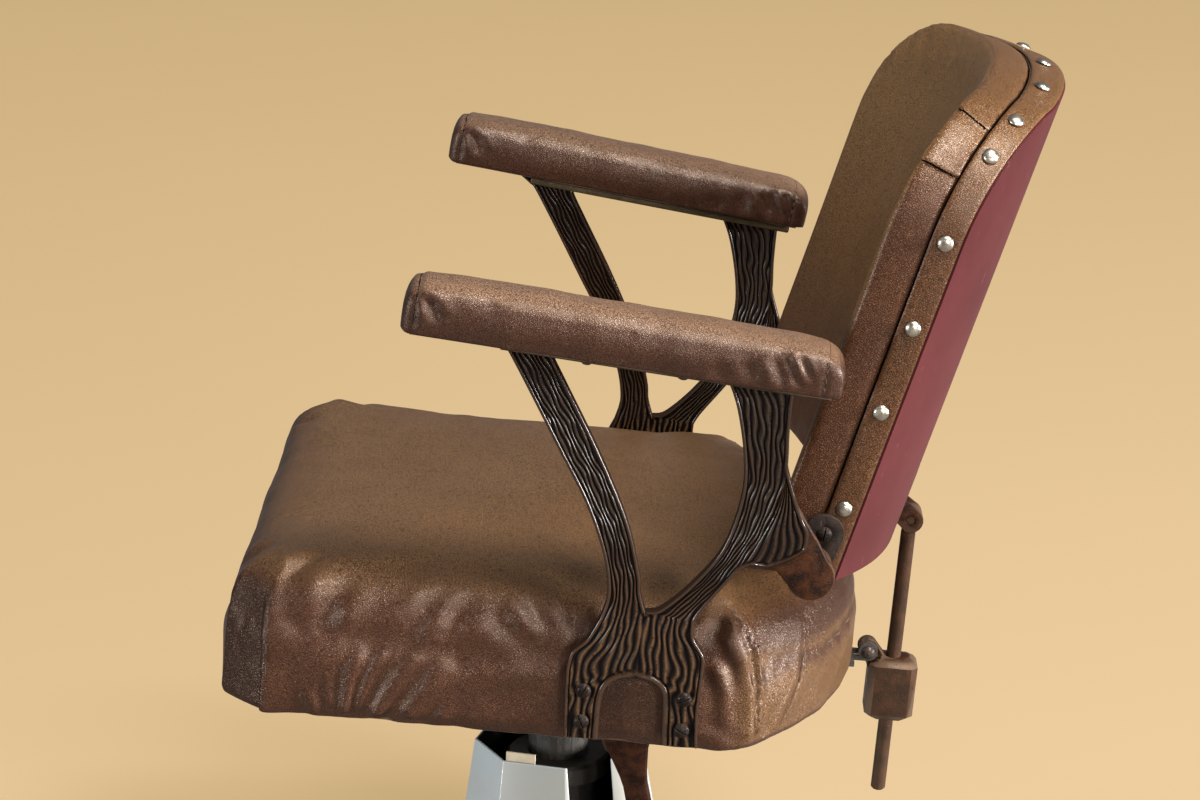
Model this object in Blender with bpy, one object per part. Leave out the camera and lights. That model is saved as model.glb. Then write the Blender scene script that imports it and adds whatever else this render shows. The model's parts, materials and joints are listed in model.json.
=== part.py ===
"""A hairdressing chair with ribbed cast arms, a clamped recline rod and an oil-lifted pedestal.

The chair faces -X and +Z is up. The origin is on the floor, on the axis that the seat turns and rises on.
Lengths are metres. The seat and what it carries are drawn in the seat's own tilted frame, the back rest in
the frame of its hinge and the rod in the frame of its eye.
"""

import math

import bmesh
import bpy
from mathutils import Matrix, Vector

# Clearances
FIT = 0.0003
RUNNING = 0.0006
SHARP_ANGLE = math.radians(32)

# Pedestal
FOOT_WIDTH = 0.48
FOOT_RIM = 0.016
FOOT_HEIGHT = 0.052
FOOT_LEDGE = 0.014
BASE_TURN = math.radians(-16)
CASING_TOP_WIDTH = 0.145
CASING_TOP = 0.2715
CASING_TAPER = math.radians(8.2)
CASING_WALL = 0.0025
NOTCH_WIDTH = 0.045
NOTCH_DEPTH = 0.070
NOTCH_SHIFT = -0.005
CYLINDER_RADIUS = 0.040
CYLINDER_FLANGE = 0.056
CYLINDER_FLANGE_THICKNESS = 0.012
CYLINDER_TOP = 0.240
NUT_RADIUS = 0.049
NUT_HEIGHT = 0.018
CLIP_WIDTH = 0.028
CLIP_SHIFT = -0.014
CLIP_THICKNESS = 0.002
CLIP_RISE = 0.008
CLIP_DROP = 0.022

# Ram and swivel
RAM_RADIUS = 0.028
RAM_BOTTOM_GAP = 0.006
NECK_RADIUS = 0.019
NECK_LENGTH = 0.045
WASHER_RADIUS = 0.034
WASHER_THICKNESS = 0.006
HUB_RADIUS = 0.046
HUB_END_GAP = 0.003
HUB_CAP = 0.025
SPIDER_REACH = 0.150
SPIDER_WIDTH = 0.036
SPIDER_END_DEPTH = 0.013
SPIDER_ROOT_DEPTH = 0.048
SPIDER_PAD_RADIUS = 0.023
SPIDER_PAD_PROUD = 0.0015

# Seat
SEAT_HEIGHT = 0.383
SEAT_SLOPE = math.radians(5)
SEAT_FRONT = -0.286
SEAT_REAR = 0.275
SEAT_HALF_WIDTH = 0.263
SEAT_CHAMFER_LENGTH = 0.040
SEAT_CHAMFER_WIDTH = 0.035
SEAT_REAR_RADIUS = 0.366
SEAT_CORNER_RADIUS = 0.045
SEAT_EDGE_HEIGHT = 0.127
SEAT_ROLL = 0.040
SEAT_REAR_ROLL = 0.060
SEAT_CROWN = 0.012
SEAT_BULGE = 0.002
COVER = 0.005
RAIL_WIDTH = 0.022
RAIL_HEIGHT = 0.062
BOARD_THICKNESS = 0.015
# The ram's shoulder follows the seat: the socket on its neck ends a cap's thickness below the board
RAM_SHOULDER = SEAT_HEIGHT - HUB_CAP - HUB_END_GAP - NECK_LENGTH

# Arm frames, drawn as seen from the side: along the seat, above its underside
ARM_THICKNESS = 0.012
RIB_DEPTH = 0.0016
RIB_COUNT = 5
RIB_WAVE = 0.0016
RIB_WAVE_LENGTH = 0.072
WEB_THICKNESS = 0.0076
CROTCH = (0.074, 0.126)
ARCH_APEX = (0.071, 0.067)
FRONT_LEG_OUTER = [(0.015, 0.007), (0.013, 0.038), (0.012, 0.068)]
FRONT_LEG_INNER = [(0.044, 0.007), (0.044, 0.040), (0.0475, 0.055), (0.056, 0.063), ARCH_APEX]
FRONT_SHOULDER = [(0.012, 0.068), (0.015, 0.084), (0.027, 0.097), (0.037, 0.118)]
FRONT_STRUT_OUTER = [(0.037, 0.118), (0.041, 0.140), (0.035, 0.172), (0.017, 0.216), (-0.011, 0.264),
                     (-0.041, 0.315), (-0.0672, 0.3588)]
FRONT_STRUT_INNER = [CROTCH, (0.069, 0.141), (0.066, 0.160), (0.052, 0.205), (0.024, 0.262),
                     (-0.008, 0.318), (-0.0287, 0.356)]
REAR_LEG_INNER = [(0.098, 0.007), (0.096, 0.045), (0.0935, 0.056), (0.086, 0.063), ARCH_APEX]
REAR_LEG_OUTER = [(0.129, 0.007), (0.127, 0.040), (0.128, 0.075)]
REAR_SHOULDER = [(0.128, 0.075), (0.127, 0.090), (0.117, 0.106), (0.116, 0.121)]
REAR_STRUT_INNER = [CROTCH, (0.087, 0.130), (0.112, 0.156), (0.134, 0.190), (0.1445, 0.235),
                    (0.143, 0.270), (0.132, 0.310), (0.111, 0.3464)]
REAR_STRUT_OUTER = [(0.116, 0.121), (0.123, 0.134), (0.150, 0.168), (0.178, 0.200), (0.188, 0.238),
                    (0.184, 0.265), (0.179, 0.297), (0.1844, 0.3434)]
LOBE_RADIUS = 0.0205
LOBE_UNDERSIDE = [(0.150, 0.172), (0.180, 0.172)]
LOBE_REAR_EDGE = [(0.213, 0.200), (0.201, 0.217), (0.186, 0.240), (0.160, 0.205)]
ARM_SCREW_PLACES = [(0.028, 0.051), (0.0285, 0.023), (0.1135, 0.051), (0.1140, 0.0225)]
FLANGE_WIDTH = 0.030
FLANGE_THICKNESS = 0.006
FLANGE_FRONT = -0.100
FLANGE_REAR = 0.155

# Arm pads, drawn along their own slope from the middle of the flange
PAD_PLACE = 0.035
PAD_HEIGHTS = {"left": 0.346, "right": 0.3514}
PAD_SLOPES = {"left": math.radians(4), "right": math.radians(6)}
PAD_OFFSET = 0.004
PAD_WIDTH = 0.065
PAD_FRONT = -0.184
PAD_REARS = {"left": 0.183, "right": 0.171}
PAD_FRONT_HEIGHT = 0.043
PAD_REAR_HEIGHT = 0.039
PAD_EDGE_RADIUS = 0.010
PAD_CROWN = 0.003
PAD_COVER = 0.004
PAD_BOARD_THICKNESS = 0.012
PAD_SCREW_PLACES = (-0.028, 0.052)

# Back rest, drawn up and through from its hinge
HINGE_PLACE = (0.209, 0.169)
BACK_ANGLE = math.radians(13.8)
BACK_SIDE_GAP = 0.025
BACK_HALF_WIDTH = SEAT_HALF_WIDTH - BACK_SIDE_GAP
BACK_CORNER_RADIUS = 0.1155
BACK_TOP = 0.4145
BACK_TOP_CROWN = 0.012
BACK_BOTTOM = -0.012
BACK_BOW = 0.0628
PANEL_BULGE = 0.006
PANEL_INSET = 0.004
CUSHION_FRONT = -0.043
FRAME_FRONT = -0.002
FRAME_REAR = 0.0230
PANEL_THICKNESS = 0.0018
BAND_THICKNESS = 0.0025
CUSHION_EDGE = 0.009
CUSHION_DISH = 0.004

# Hinges
PIN_RADIUS = 0.005
PLATE_THICKNESS = 0.005
PLATE_RADIUS = 0.0170
PLATE_SCREW_PLACE = (0.0025, 0.030)
HINGE_BLOCK_DEPTH = 0.026
HINGE_BLOCK_HEIGHT = 0.036
HINGE_BLOCK_WIDTH = 0.022
LOBE_SKIN = 0.006

# Recline rod, lug, clamp block and bracket
ROD_RADIUS = 0.0068
ROD_LENGTH = 0.272
EYE_RADIUS = 0.0115
EYE_THICKNESS = 0.0146
LUG_HEIGHT = -0.007
LUG_PLATE_WIDTH = 0.040
LUG_PLATE_TOP = 0.062
LUG_PLATE_BOTTOM = -0.010
LUG_PLATE_THICKNESS = 0.003
LUG_EAR_THICKNESS = 0.005
LUG_PIN_RADIUS = 0.004
LUG_EYE_GAP = 0.0006
LUG_PIN_RECESS = 0.001
LUG_SCREW_HEIGHTS = (0.022, 0.048)
BLOCK_TOP = -0.137
BLOCK_HEIGHT = 0.060
BLOCK_LENGTH = 0.045
BLOCK_WIDTH = 0.038
BLOCK_CHAMFER = 0.006
BLOCK_PIN_BEHIND_SEAT = 0.0138
BLOCK_PIN_RISE = 0.004
BLOCK_PIN_RADIUS = 0.0035
BLOCK_PIN_HEAD = 0.0060
BLOCK_EAR_LEAD = 0.0012
BLOCK_EAR_CLEARANCE = 0.0030
BLOCK_EAR_RADIUS = 0.0095
BLOCK_EAR_THICKNESS = 0.010
CHEEK_RADIUS = 0.009
CHEEK_THICKNESS = 0.005
BRACKET_LENGTH = 0.062
BRACKET_WIDTH = 0.056
BRACKET_SCREW_SPREAD = 0.017

# Hand lever under the seat
LEVER_PLACE = (0.071, -0.052)
LEVER_SIDE = -0.1265
LEVER_ANGLE = math.radians(15)
LEVER_LENGTH = 0.190
LEVER_BOSS_RADIUS = 0.022
LEVER_HALF_WIDTH = 0.0112
LEVER_TIP_HALF_WIDTH = 0.0145
LEVER_THICKNESS = 0.012
LEVER_PIN_RADIUS = 0.006
LEVER_SKIN = 0.003
HANGER_THICKNESS = 0.008
HANGER_FLANGE = 0.006
HANGER_LENGTH = 0.064
HANGER_WIDTH = 0.036
HANGER_EYE_RADIUS = 0.015
HANGER_SCREW_SPREAD = 0.021

# Screws and bolts
WOOD_SCREW_RADIUS = 0.0024
WOOD_SCREW_HEAD = 0.0066
WOOD_SCREW_HEAD_HEIGHT = 0.0040
WOOD_SCREW_GRIP = 0.016
SMALL_SCREW_RADIUS = 0.0021
SMALL_SCREW_HEAD = 0.0050
SMALL_SCREW_HEAD_HEIGHT = 0.0030
SMALL_SCREW_GRIP = 0.010
BOLT_RADIUS = 0.004
BOLT_HEAD = 0.0075
BOLT_HEAD_HEIGHT = 0.0055
BOLT_GRIP = 0.010


def clear_scene():
    for thing in list(bpy.data.objects):
        bpy.data.objects.remove(thing, do_unlink=True)


def finish(name, colour, roughness, metallic=0.0):
    material = bpy.data.materials.new(name)
    material.use_nodes = True
    shader = material.node_tree.nodes["Principled BSDF"]
    shader.inputs["Base Color"].default_value = (*colour, 1.0)
    shader.inputs["Roughness"].default_value = roughness
    shader.inputs["Metallic"].default_value = metallic
    return material


def axis(name, parent=None, place=(0, 0, 0), turn=(0, 0, 0)):
    empty = bpy.data.objects.new(name, None)
    empty.empty_display_size = 0.05
    empty.parent = parent
    empty.location = place
    empty.rotation_euler = turn
    bpy.context.collection.objects.link(empty)
    return empty


def add(name, bm, material, parent=None, place=(0, 0, 0), turn=(0, 0, 0)):
    bmesh.ops.recalc_face_normals(bm, faces=bm.faces)
    mesh = bpy.data.meshes.new(name)
    bm.to_mesh(mesh)
    bm.free()
    mesh.shade_smooth()
    mesh.set_sharp_from_angle(angle=SHARP_ANGLE)
    if material:
        mesh.materials.append(material)
    piece = bpy.data.objects.new(name, mesh)
    piece.parent = parent
    piece.location = place
    piece.rotation_euler = turn
    bpy.context.collection.objects.link(piece)
    return piece


def tool(name, bm, parent=None, place=(0, 0, 0), turn=(0, 0, 0)):
    """A body that only cuts or joins."""
    piece = add(name, bm, None, parent, place, turn)
    piece.hide_render = True
    piece.display_type = "WIRE"
    return piece


def combine(piece, other, operation):
    modifier = piece.modifiers.new(other.name, "BOOLEAN")
    modifier.operation = operation
    modifier.solver = "EXACT"
    modifier.object = other


def bevel(piece, width, segments=1, limit=math.radians(40)):
    modifier = piece.modifiers.new("edges", "BEVEL")
    modifier.width = width
    modifier.segments = segments
    modifier.limit_method = "ANGLE"
    modifier.angle_limit = limit


def turned(profile, steps=20):
    """A solid of revolution about Z from (radius, height) points, closed on the axis or on itself."""
    bm = bmesh.new()
    corners = [bm.verts.new((radius, 0, height)) for radius, height in profile]
    edges = [bm.edges.new(pair) for pair in zip(corners, corners[1:])]
    if profile[0][0] > 0:
        edges.append(bm.edges.new((corners[-1], corners[0])))
    bmesh.ops.spin(bm, geom=corners + edges, axis=(0, 0, 1), cent=(0, 0, 0), angle=math.tau, steps=steps,
                   use_merge=True)
    bmesh.ops.remove_doubles(bm, verts=bm.verts, dist=1e-6)
    return bm


def prism(outline, start, end):
    """A side view outline of (x, z) points, extruded across from y = start to y = end."""
    bm = bmesh.new()
    face = bm.faces.new([bm.verts.new((x, start, z)) for x, z in outline])
    extruded = bmesh.ops.extrude_face_region(bm, geom=[face])
    moved = [item for item in extruded["geom"] if isinstance(item, bmesh.types.BMVert)]
    bmesh.ops.translate(bm, verts=moved, vec=(0, end - start, 0))
    return bm


def slab(outline, bottom, top):
    """A plan outline of (x, y) points, extruded upwards."""
    bm = bmesh.new()
    face = bm.faces.new([bm.verts.new((x, y, bottom)) for x, y in outline])
    extruded = bmesh.ops.extrude_face_region(bm, geom=[face])
    moved = [item for item in extruded["geom"] if isinstance(item, bmesh.types.BMVert)]
    bmesh.ops.translate(bm, verts=moved, vec=(0, 0, top - bottom))
    return bm


def rectangle(low_x, high_x, low_y, high_y):
    return [(low_x, low_y), (high_x, low_y), (high_x, high_y), (low_x, high_y)]


def loft(rings, closed=False, strips=False):
    """Skins rings of equally many points. A closed loft joins the last ring to the first; otherwise the ends are
    capped by one face each, or by strips between the two halves of the ring."""
    bm = bmesh.new()
    loops = [[bm.verts.new(point) for point in ring] for ring in rings]
    pairs = list(zip(loops, loops[1:]))
    if closed:
        pairs.append((loops[-1], loops[0]))
    for lower, upper in pairs:
        for i in range(len(lower)):
            j = (i + 1) % len(lower)
            bm.faces.new((lower[i], lower[j], upper[j], upper[i]))
    if closed:
        return bm
    for loop in (loops[0], loops[-1]):
        if not strips:
            bm.faces.new(loop)
            continue
        last = len(loop) - 1
        for i in range(len(loop) // 2 - 1):
            bm.faces.new((loop[i], loop[i + 1], loop[last - i - 1], loop[last - i]))
    return bm


def arc(centre, radius, start, end, steps):
    """Points on a circle from one angle to another, in degrees."""
    points = []
    for i in range(steps + 1):
        angle = math.radians(start + (end - start) * i / steps)
        points.append((centre[0] + radius * math.cos(angle), centre[1] + radius * math.sin(angle)))
    return points


def rod_body(radius, start, end, steps=14):
    """A plain round bar along Z."""
    return turned([(0, end), (radius, end), (radius, start), (0, start)], steps)


def across(bm):
    """Turns a body drawn along Z so that it lies along Y, with its top towards -Y."""
    bmesh.ops.rotate(bm, verts=bm.verts, cent=(0, 0, 0), matrix=Matrix.Rotation(math.radians(90), 3, "X"))
    return bm


def mirrored(bm, side):
    """Puts a body drawn for the +Y side on the given side."""
    bmesh.ops.scale(bm, verts=bm.verts, vec=(1, side, 1))
    return bm


def screw_body(radius, head, head_height, grip, steps=12):
    """A round-headed screw with its head above z = 0 and its pointed shank below."""
    point = radius * 1.6
    profile = [(0, head_height), (head * 0.55, head_height * 0.86), (head * 0.9, head_height * 0.5), (head, 0),
               (radius, 0), (radius, -grip + point), (radius * 0.25, -grip), (0, -grip)]
    return turned(profile, steps)


def bolt_body(radius, head, head_height, grip):
    """A hexagon bolt with its head below z = 0 and its shank above."""
    bm = turned([(0, 0), (head, 0), (head, -head_height), (0, -head_height)], 6)
    shank = turned([(0, grip), (radius, grip), (radius, -head_height / 2), (0, -head_height / 2)], 12)
    return bm, shank


def inset_loop(points, distance):
    """A counter-clockwise outline drawn in by a distance."""
    count = len(points)
    result = []
    for i in range(count):
        before = Vector(points[i]) - Vector(points[i - 1])
        after = Vector(points[(i + 1) % count]) - Vector(points[i])
        first = Vector((-before.y, before.x)).normalized()
        second = Vector((-after.y, after.x)).normalized()
        step = (first + second) * (distance / (1 + first.dot(second)))
        result.append((points[i][0] + step.x, points[i][1] + step.y))
    return result


def smooth_path(points, count):
    """As many points, evenly spaced on a smooth curve through the given ones."""
    knots = [Vector(point) for point in points]
    dense = []
    for i in range(len(knots) - 1):
        a = knots[max(i - 1, 0)]
        b, c = knots[i], knots[i + 1]
        d = knots[min(i + 2, len(knots) - 1)]
        for step in range(16):
            t = step / 16
            dense.append(0.5 * (2 * b + (c - a) * t + (2 * a - 5 * b + 4 * c - d) * t * t
                                + (3 * b - a - 3 * c + d) * t ** 3))
    dense.append(knots[-1])
    reach = [0.0]
    for a, b in zip(dense, dense[1:]):
        reach.append(reach[-1] + (b - a).length)
    result = []
    place = 0
    for i in range(count):
        target = reach[-1] * i / (count - 1)
        while place < len(dense) - 2 and reach[place + 1] < target:
            place += 1
        span = reach[place + 1] - reach[place]
        share = (target - reach[place]) / span
        result.append(dense[place].lerp(dense[place + 1], share))
    return result


# Pedestal

def octagon(width, height):
    radius = width / 2 / math.cos(math.radians(22.5))
    return [Vector((radius * math.cos(math.radians(22.5 + 45 * i)), radius * math.sin(math.radians(22.5 + 45 * i)),
                    height)) for i in range(8)]


def casing_width(height):
    return CASING_TOP_WIDTH + 2 * (CASING_TOP - height) * math.tan(CASING_TAPER)


def build_base(iron, enamel, black):
    turn = (0, 0, BASE_TURN)
    casing_bottom = FOOT_HEIGHT + FIT
    ledge_width = casing_width(casing_bottom) + 2 * FOOT_LEDGE
    edge = 0.004
    add("base_foot", loft([
        octagon(FOOT_WIDTH - 2 * edge, 0), octagon(FOOT_WIDTH, edge), octagon(FOOT_WIDTH, FOOT_RIM),
        octagon(FOOT_WIDTH - 4 * edge, FOOT_RIM + edge), octagon(ledge_width + 4 * edge, FOOT_HEIGHT - edge),
        octagon(ledge_width, FOOT_HEIGHT)]), iron, turn=turn)

    wall = 2 * CASING_WALL
    casing = add("pedestal_casing", loft([
        octagon(casing_width(casing_bottom), casing_bottom), octagon(CASING_TOP_WIDTH, CASING_TOP),
        octagon(CASING_TOP_WIDTH - wall, CASING_TOP),
        octagon(casing_width(casing_bottom) - wall, casing_bottom)], closed=True), enamel, turn=turn)
    half = NOTCH_WIDTH / 2
    low = CASING_TOP - NOTCH_DEPTH + half
    above = CASING_TOP + half
    left, right = NOTCH_SHIFT - half, NOTCH_SHIFT + half
    notch = [(left, above)] + arc((NOTCH_SHIFT, low), half, 180, 360, 12) + [(right, above)]
    notch_tool = tool("casing_notch", prism(notch, -CASING_TOP_WIDTH, -CYLINDER_RADIUS),
                      turn=(0, 0, BASE_TURN + math.radians(45)))
    combine(casing, notch_tool, "DIFFERENCE")

    bottom = FOOT_HEIGHT + FIT
    floor = bottom + CYLINDER_FLANGE_THICKNESS
    bore = RAM_RADIUS + RUNNING
    add("oil_cylinder", turned([
        (0, floor), (bore, floor), (bore, CYLINDER_TOP), (CYLINDER_RADIUS, CYLINDER_TOP),
        (CYLINDER_RADIUS, floor),
        (CYLINDER_FLANGE, floor), (CYLINDER_FLANGE, bottom), (0, bottom)], 24), black)

    nut_low = CYLINDER_TOP + FIT
    nut_high = nut_low + NUT_HEIGHT
    chamfer = 0.003
    add("gland_nut", turned([
        (bore, nut_low), (bore, nut_high), (NUT_RADIUS - chamfer, nut_high), (NUT_RADIUS, nut_high - chamfer),
        (NUT_RADIUS, nut_low)], 24), black)

    def inner_face(height):
        return casing_width(height) / 2 - CASING_WALL / math.cos(CASING_TAPER) - FIT

    foot_low = CASING_TOP - CLIP_DROP
    foot_high = foot_low + CLIP_THICKNESS
    clip_top = CASING_TOP + CLIP_RISE
    nut_face = NUT_RADIUS + FIT
    clip = [(nut_face, foot_low), (inner_face(foot_low), foot_low), (inner_face(clip_top), clip_top),
            (inner_face(clip_top) - CLIP_THICKNESS, clip_top),
            (inner_face(foot_high) - CLIP_THICKNESS, foot_high),
            (nut_face, foot_high)]
    clip_body = prism(clip, CLIP_SHIFT - CLIP_WIDTH / 2, CLIP_SHIFT + CLIP_WIDTH / 2)
    add("casing_clip", clip_body, enamel, turn=(0, 0, BASE_TURN - math.radians(90)))


def build_ram(lift_axis, steel, brass):
    floor = FOOT_HEIGHT + FIT + CYLINDER_FLANGE_THICKNESS
    low = floor + RAM_BOTTOM_GAP
    chamfer = 0.002
    neck_top = RAM_SHOULDER + NECK_LENGTH
    add("ram", turned([
        (0, neck_top), (NECK_RADIUS - chamfer, neck_top), (NECK_RADIUS, neck_top - chamfer),
        (NECK_RADIUS, RAM_SHOULDER), (RAM_RADIUS, RAM_SHOULDER), (RAM_RADIUS, low + chamfer),
        (RAM_RADIUS - chamfer, low), (0, low)], 24), steel, lift_axis)
    washer_low = RAM_SHOULDER + FIT
    washer_high = washer_low + WASHER_THICKNESS
    hole = NECK_RADIUS + RUNNING
    add("thrust_washer", turned([
        (hole, washer_low), (hole, washer_high), (WASHER_RADIUS, washer_high), (WASHER_RADIUS, washer_low)], 24),
        brass, lift_axis)


# Seat

def spider_ends():
    reach = SPIDER_REACH
    return [(reach, 0), (0, reach), (-reach, 0), (0, -reach)]


def build_swivel_head(seat_tilt, iron, steel):
    """The cast spider: a socket on the ram's neck and four arms under the seat board."""
    top = -FIT
    underside = FIT + WASHER_THICKNESS + RAM_SHOULDER + FIT
    hub_low = underside - SEAT_HEIGHT
    hub_high = -SPIDER_END_DEPTH / 2
    socket_top = RAM_SHOULDER + NECK_LENGTH + HUB_END_GAP - SEAT_HEIGHT
    hole = NECK_RADIUS + RUNNING
    head = add("swivel_head", turned([
        (0, hub_high), (HUB_RADIUS, hub_high), (HUB_RADIUS, hub_low), (hole, hub_low), (hole, socket_top),
        (0, socket_top)], 24), iron, seat_tilt, turn=(0, -SEAT_SLOPE, 0))
    half = SPIDER_WIDTH / 2
    root = 0.7 * HUB_RADIUS
    arm_top = top - SPIDER_PAD_PROUD
    arm_low = top - SPIDER_END_DEPTH + SPIDER_PAD_PROUD
    for i, (x, y) in enumerate(spider_ends()):
        arm = prism([(root, arm_top), (root, top - SPIDER_ROOT_DEPTH),
                     (SPIDER_REACH - 0.8 * SPIDER_PAD_RADIUS, arm_low),
                     (SPIDER_REACH, arm_low), (SPIDER_REACH, arm_top)], -half, half)
        arm_tool = tool(f"spider_arm_{i + 1}", arm, seat_tilt, turn=(0, 0, math.atan2(y, x)))
        combine(head, arm_tool, "UNION")
        pad_tool = tool(f"spider_pad_{i + 1}", rod_body(SPIDER_PAD_RADIUS, top - SPIDER_END_DEPTH, top, 20),
                        seat_tilt, (x, y, 0))
        combine(head, pad_tool, "UNION")
    for i, (x, y) in enumerate(spider_ends()):
        hole_tool = tool(f"head_bolt_hole_{i + 1}", rod_body(BOLT_RADIUS + FIT, -2 * SPIDER_END_DEPTH,
                                                            BOLT_GRIP + FIT, 12), seat_tilt, (x, y, 0))
        combine(head, hole_tool, "DIFFERENCE")
        combine(bpy.data.objects["seat_board"], hole_tool, "DIFFERENCE")
        low = top - SPIDER_END_DEPTH - FIT
        hexagon, shank = bolt_body(BOLT_RADIUS, BOLT_HEAD, BOLT_HEAD_HEIGHT, BOLT_GRIP - low)
        bolt = add(f"head_bolt_{i + 1}", hexagon, steel, seat_tilt, (x, y, low))
        combine(bolt, tool(f"head_bolt_shank_{i + 1}", shank, seat_tilt, (x, y, low)), "UNION")


def seat_plan():
    """The seat's outline from above, counter-clockwise: chamfered in front, bowed behind."""
    front, side = SEAT_FRONT, SEAT_HALF_WIDTH
    corner = SEAT_CORNER_RADIUS
    bow_centre = SEAT_REAR - SEAT_REAR_RADIUS
    reach = SEAT_REAR_RADIUS - corner
    rise = side - corner
    corner_x = bow_centre + math.sqrt(reach * reach - rise * rise)
    meet = math.degrees(math.atan2(rise, corner_x - bow_centre))
    half = []
    half += arc((bow_centre, 0), SEAT_REAR_RADIUS, 0, meet, 7)
    half += arc((corner_x, rise), corner, meet, 90, 4)[1:]
    chamfer_end = front + SEAT_CHAMFER_LENGTH
    stretches = 8
    for i in range(1, stretches + 1):
        half.append((corner_x + (chamfer_end - corner_x) * i / stretches, side))
    chamfer_side = side - SEAT_CHAMFER_WIDTH
    half.append((front + SEAT_CHAMFER_LENGTH / 2, side - SEAT_CHAMFER_WIDTH / 2))
    for i in range(5):
        half.append((front, chamfer_side * (4 - i) / 4))
    far = [(x, -y) for x, y in reversed(half[1:-1])]
    return half + far


def seat_cushion_body():
    outline = seat_plan()
    tuck = 0.004
    straight = SEAT_EDGE_HEIGHT - SEAT_REAR_ROLL
    rings = [[Vector((x, y, 0)) for x, y in inset_loop(outline, tuck)]]
    for height, drawn in ((tuck, 0.0), (straight * 0.5, -SEAT_BULGE), (straight, 0.0)):
        rings.append([Vector((x, y, height)) for x, y in inset_loop(outline, drawn)])

    def roll_at(x):
        share = min(max((x - 0.5 * SEAT_REAR) / (0.4 * SEAT_REAR), 0), 1)
        share = share * share * (3 - 2 * share)
        return SEAT_ROLL + (SEAT_REAR_ROLL - SEAT_ROLL) * share

    for degrees in (18, 40, 63, 82):
        angle = math.radians(degrees)
        ring = []
        for i, (x, y) in enumerate(outline):
            radius = roll_at(x)
            drawn = inset_loop(outline, radius * (1 - math.cos(angle)))[i]
            ring.append(Vector((*drawn, SEAT_EDGE_HEIGHT - radius * (1 - math.sin(angle)))))
        rings.append(ring)
    middle = Vector(((SEAT_FRONT + SEAT_REAR) / 2, 0, 0))
    rim = rings[-1]
    for share in (0.78, 0.52, 0.26):
        ring = []
        for point in rim:
            place = middle.lerp(point, share)
            place.z = point.z + SEAT_CROWN * (1 - share * share)
            ring.append(place)
        rings.append(ring)
    bm = loft(rings)
    bm.faces.ensure_lookup_table()
    top = bm.faces[-1]
    bmesh.ops.poke(bm, faces=[top])
    return bm


def build_seat(seat_tilt, leather, wood):
    rail_outer = inset_loop(seat_plan(), COVER)
    rail_inner = inset_loop(seat_plan(), COVER + RAIL_WIDTH)
    board_outline = inset_loop(seat_plan(), COVER + RAIL_WIDTH + FIT)
    rings = []
    for outline, height in ((rail_outer, 0), (rail_outer, RAIL_HEIGHT),
                            (rail_inner, RAIL_HEIGHT), (rail_inner, 0)):
        rings.append([Vector((x, y, height)) for x, y in outline])
    add("seat_frame", loft(rings, closed=True), wood, seat_tilt)
    add("seat_board", slab(board_outline, 0, BOARD_THICKNESS), wood, seat_tilt)

    cushion = add("seat_cushion", seat_cushion_body(), leather, seat_tilt)
    below = -0.01
    rings = []
    wide, narrow = inset_loop(rail_outer, -FIT), inset_loop(rail_inner, FIT)
    roof = RAIL_HEIGHT + FIT
    for outline, height in ((wide, below), (wide, roof), (narrow, roof), (narrow, below)):
        rings.append([Vector((x, y, height)) for x, y in outline])
    combine(cushion, tool("rail_pocket", loft(rings, closed=True), seat_tilt), "DIFFERENCE")
    board_pocket = slab(inset_loop(rail_inner, -RAIL_WIDTH / 2), below, BOARD_THICKNESS + FIT)
    combine(cushion, tool("board_pocket", board_pocket, seat_tilt), "DIFFERENCE")


# Arms

def rib_columns():
    """Shares across a strut with their heights: a rolled border, a groove, then ribs, and the same back."""
    border = [(0.0, 0.35), (0.045, 1.0), (0.115, 0.0)]
    columns = list(border)
    low, high = 0.115, 0.885
    steps = 2 * RIB_COUNT
    for i in range(1, steps):
        columns.append((low + (high - low) * i / steps, float(i % 2)))
    columns += [(1 - share, height) for share, height in reversed(border)]
    return columns


def strut_rows(outer, inner):
    """Rows of points between two edges of a strut, at the height of its ribs above the middle plane."""
    columns = rib_columns()
    rows = []
    travelled = 0.0
    for i, (left, right) in enumerate(zip(outer, inner)):
        if i:
            travelled += ((left + right) - (outer[i - 1] + inner[i - 1])).length / 2
        sway = RIB_WAVE * math.sin(math.tau * travelled / RIB_WAVE_LENGTH) / (right - left).length
        row = []
        for share, height in columns:
            loose = 4 * share * (1 - share)
            spot = left.lerp(right, share + sway * loose)
            row.append((spot, ARM_THICKNESS / 2 - RIB_DEPTH * (1 - height)))
        rows.append(row)
    return rows


def strut_body(outer_stretches, inner_stretches):
    """A ribbed strut skinned between two edges, each given as stretches of a curve and a count of rows."""
    outer, inner = [], []
    for (outer_points, inner_points, count) in zip(outer_stretches, inner_stretches, (4, 4, 9)):
        outer += smooth_path(outer_points, count)[1 if outer else 0:]
        inner += smooth_path(inner_points, count)[1 if inner else 0:]
    rings = []
    for row in strut_rows(outer, inner):
        front = [Vector((spot.x, height, spot.y)) for spot, height in row]
        rear = [Vector((spot.x, -height, spot.y)) for spot, height in reversed(row)]
        rings.append(front + rear)
    return loft(rings)


def lobe_outline():
    underside = list(LOBE_UNDERSIDE)
    return underside + arc(HINGE_PLACE, LOBE_RADIUS, 205, 412, 16) + list(LOBE_REAR_EDGE)


def arm_plane():
    return SEAT_HALF_WIDTH + FIT + SEAT_BULGE + ARM_THICKNESS / 2


def hinge_plate_outer():
    return BACK_HALF_WIDTH + FIT + PLATE_THICKNESS


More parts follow.
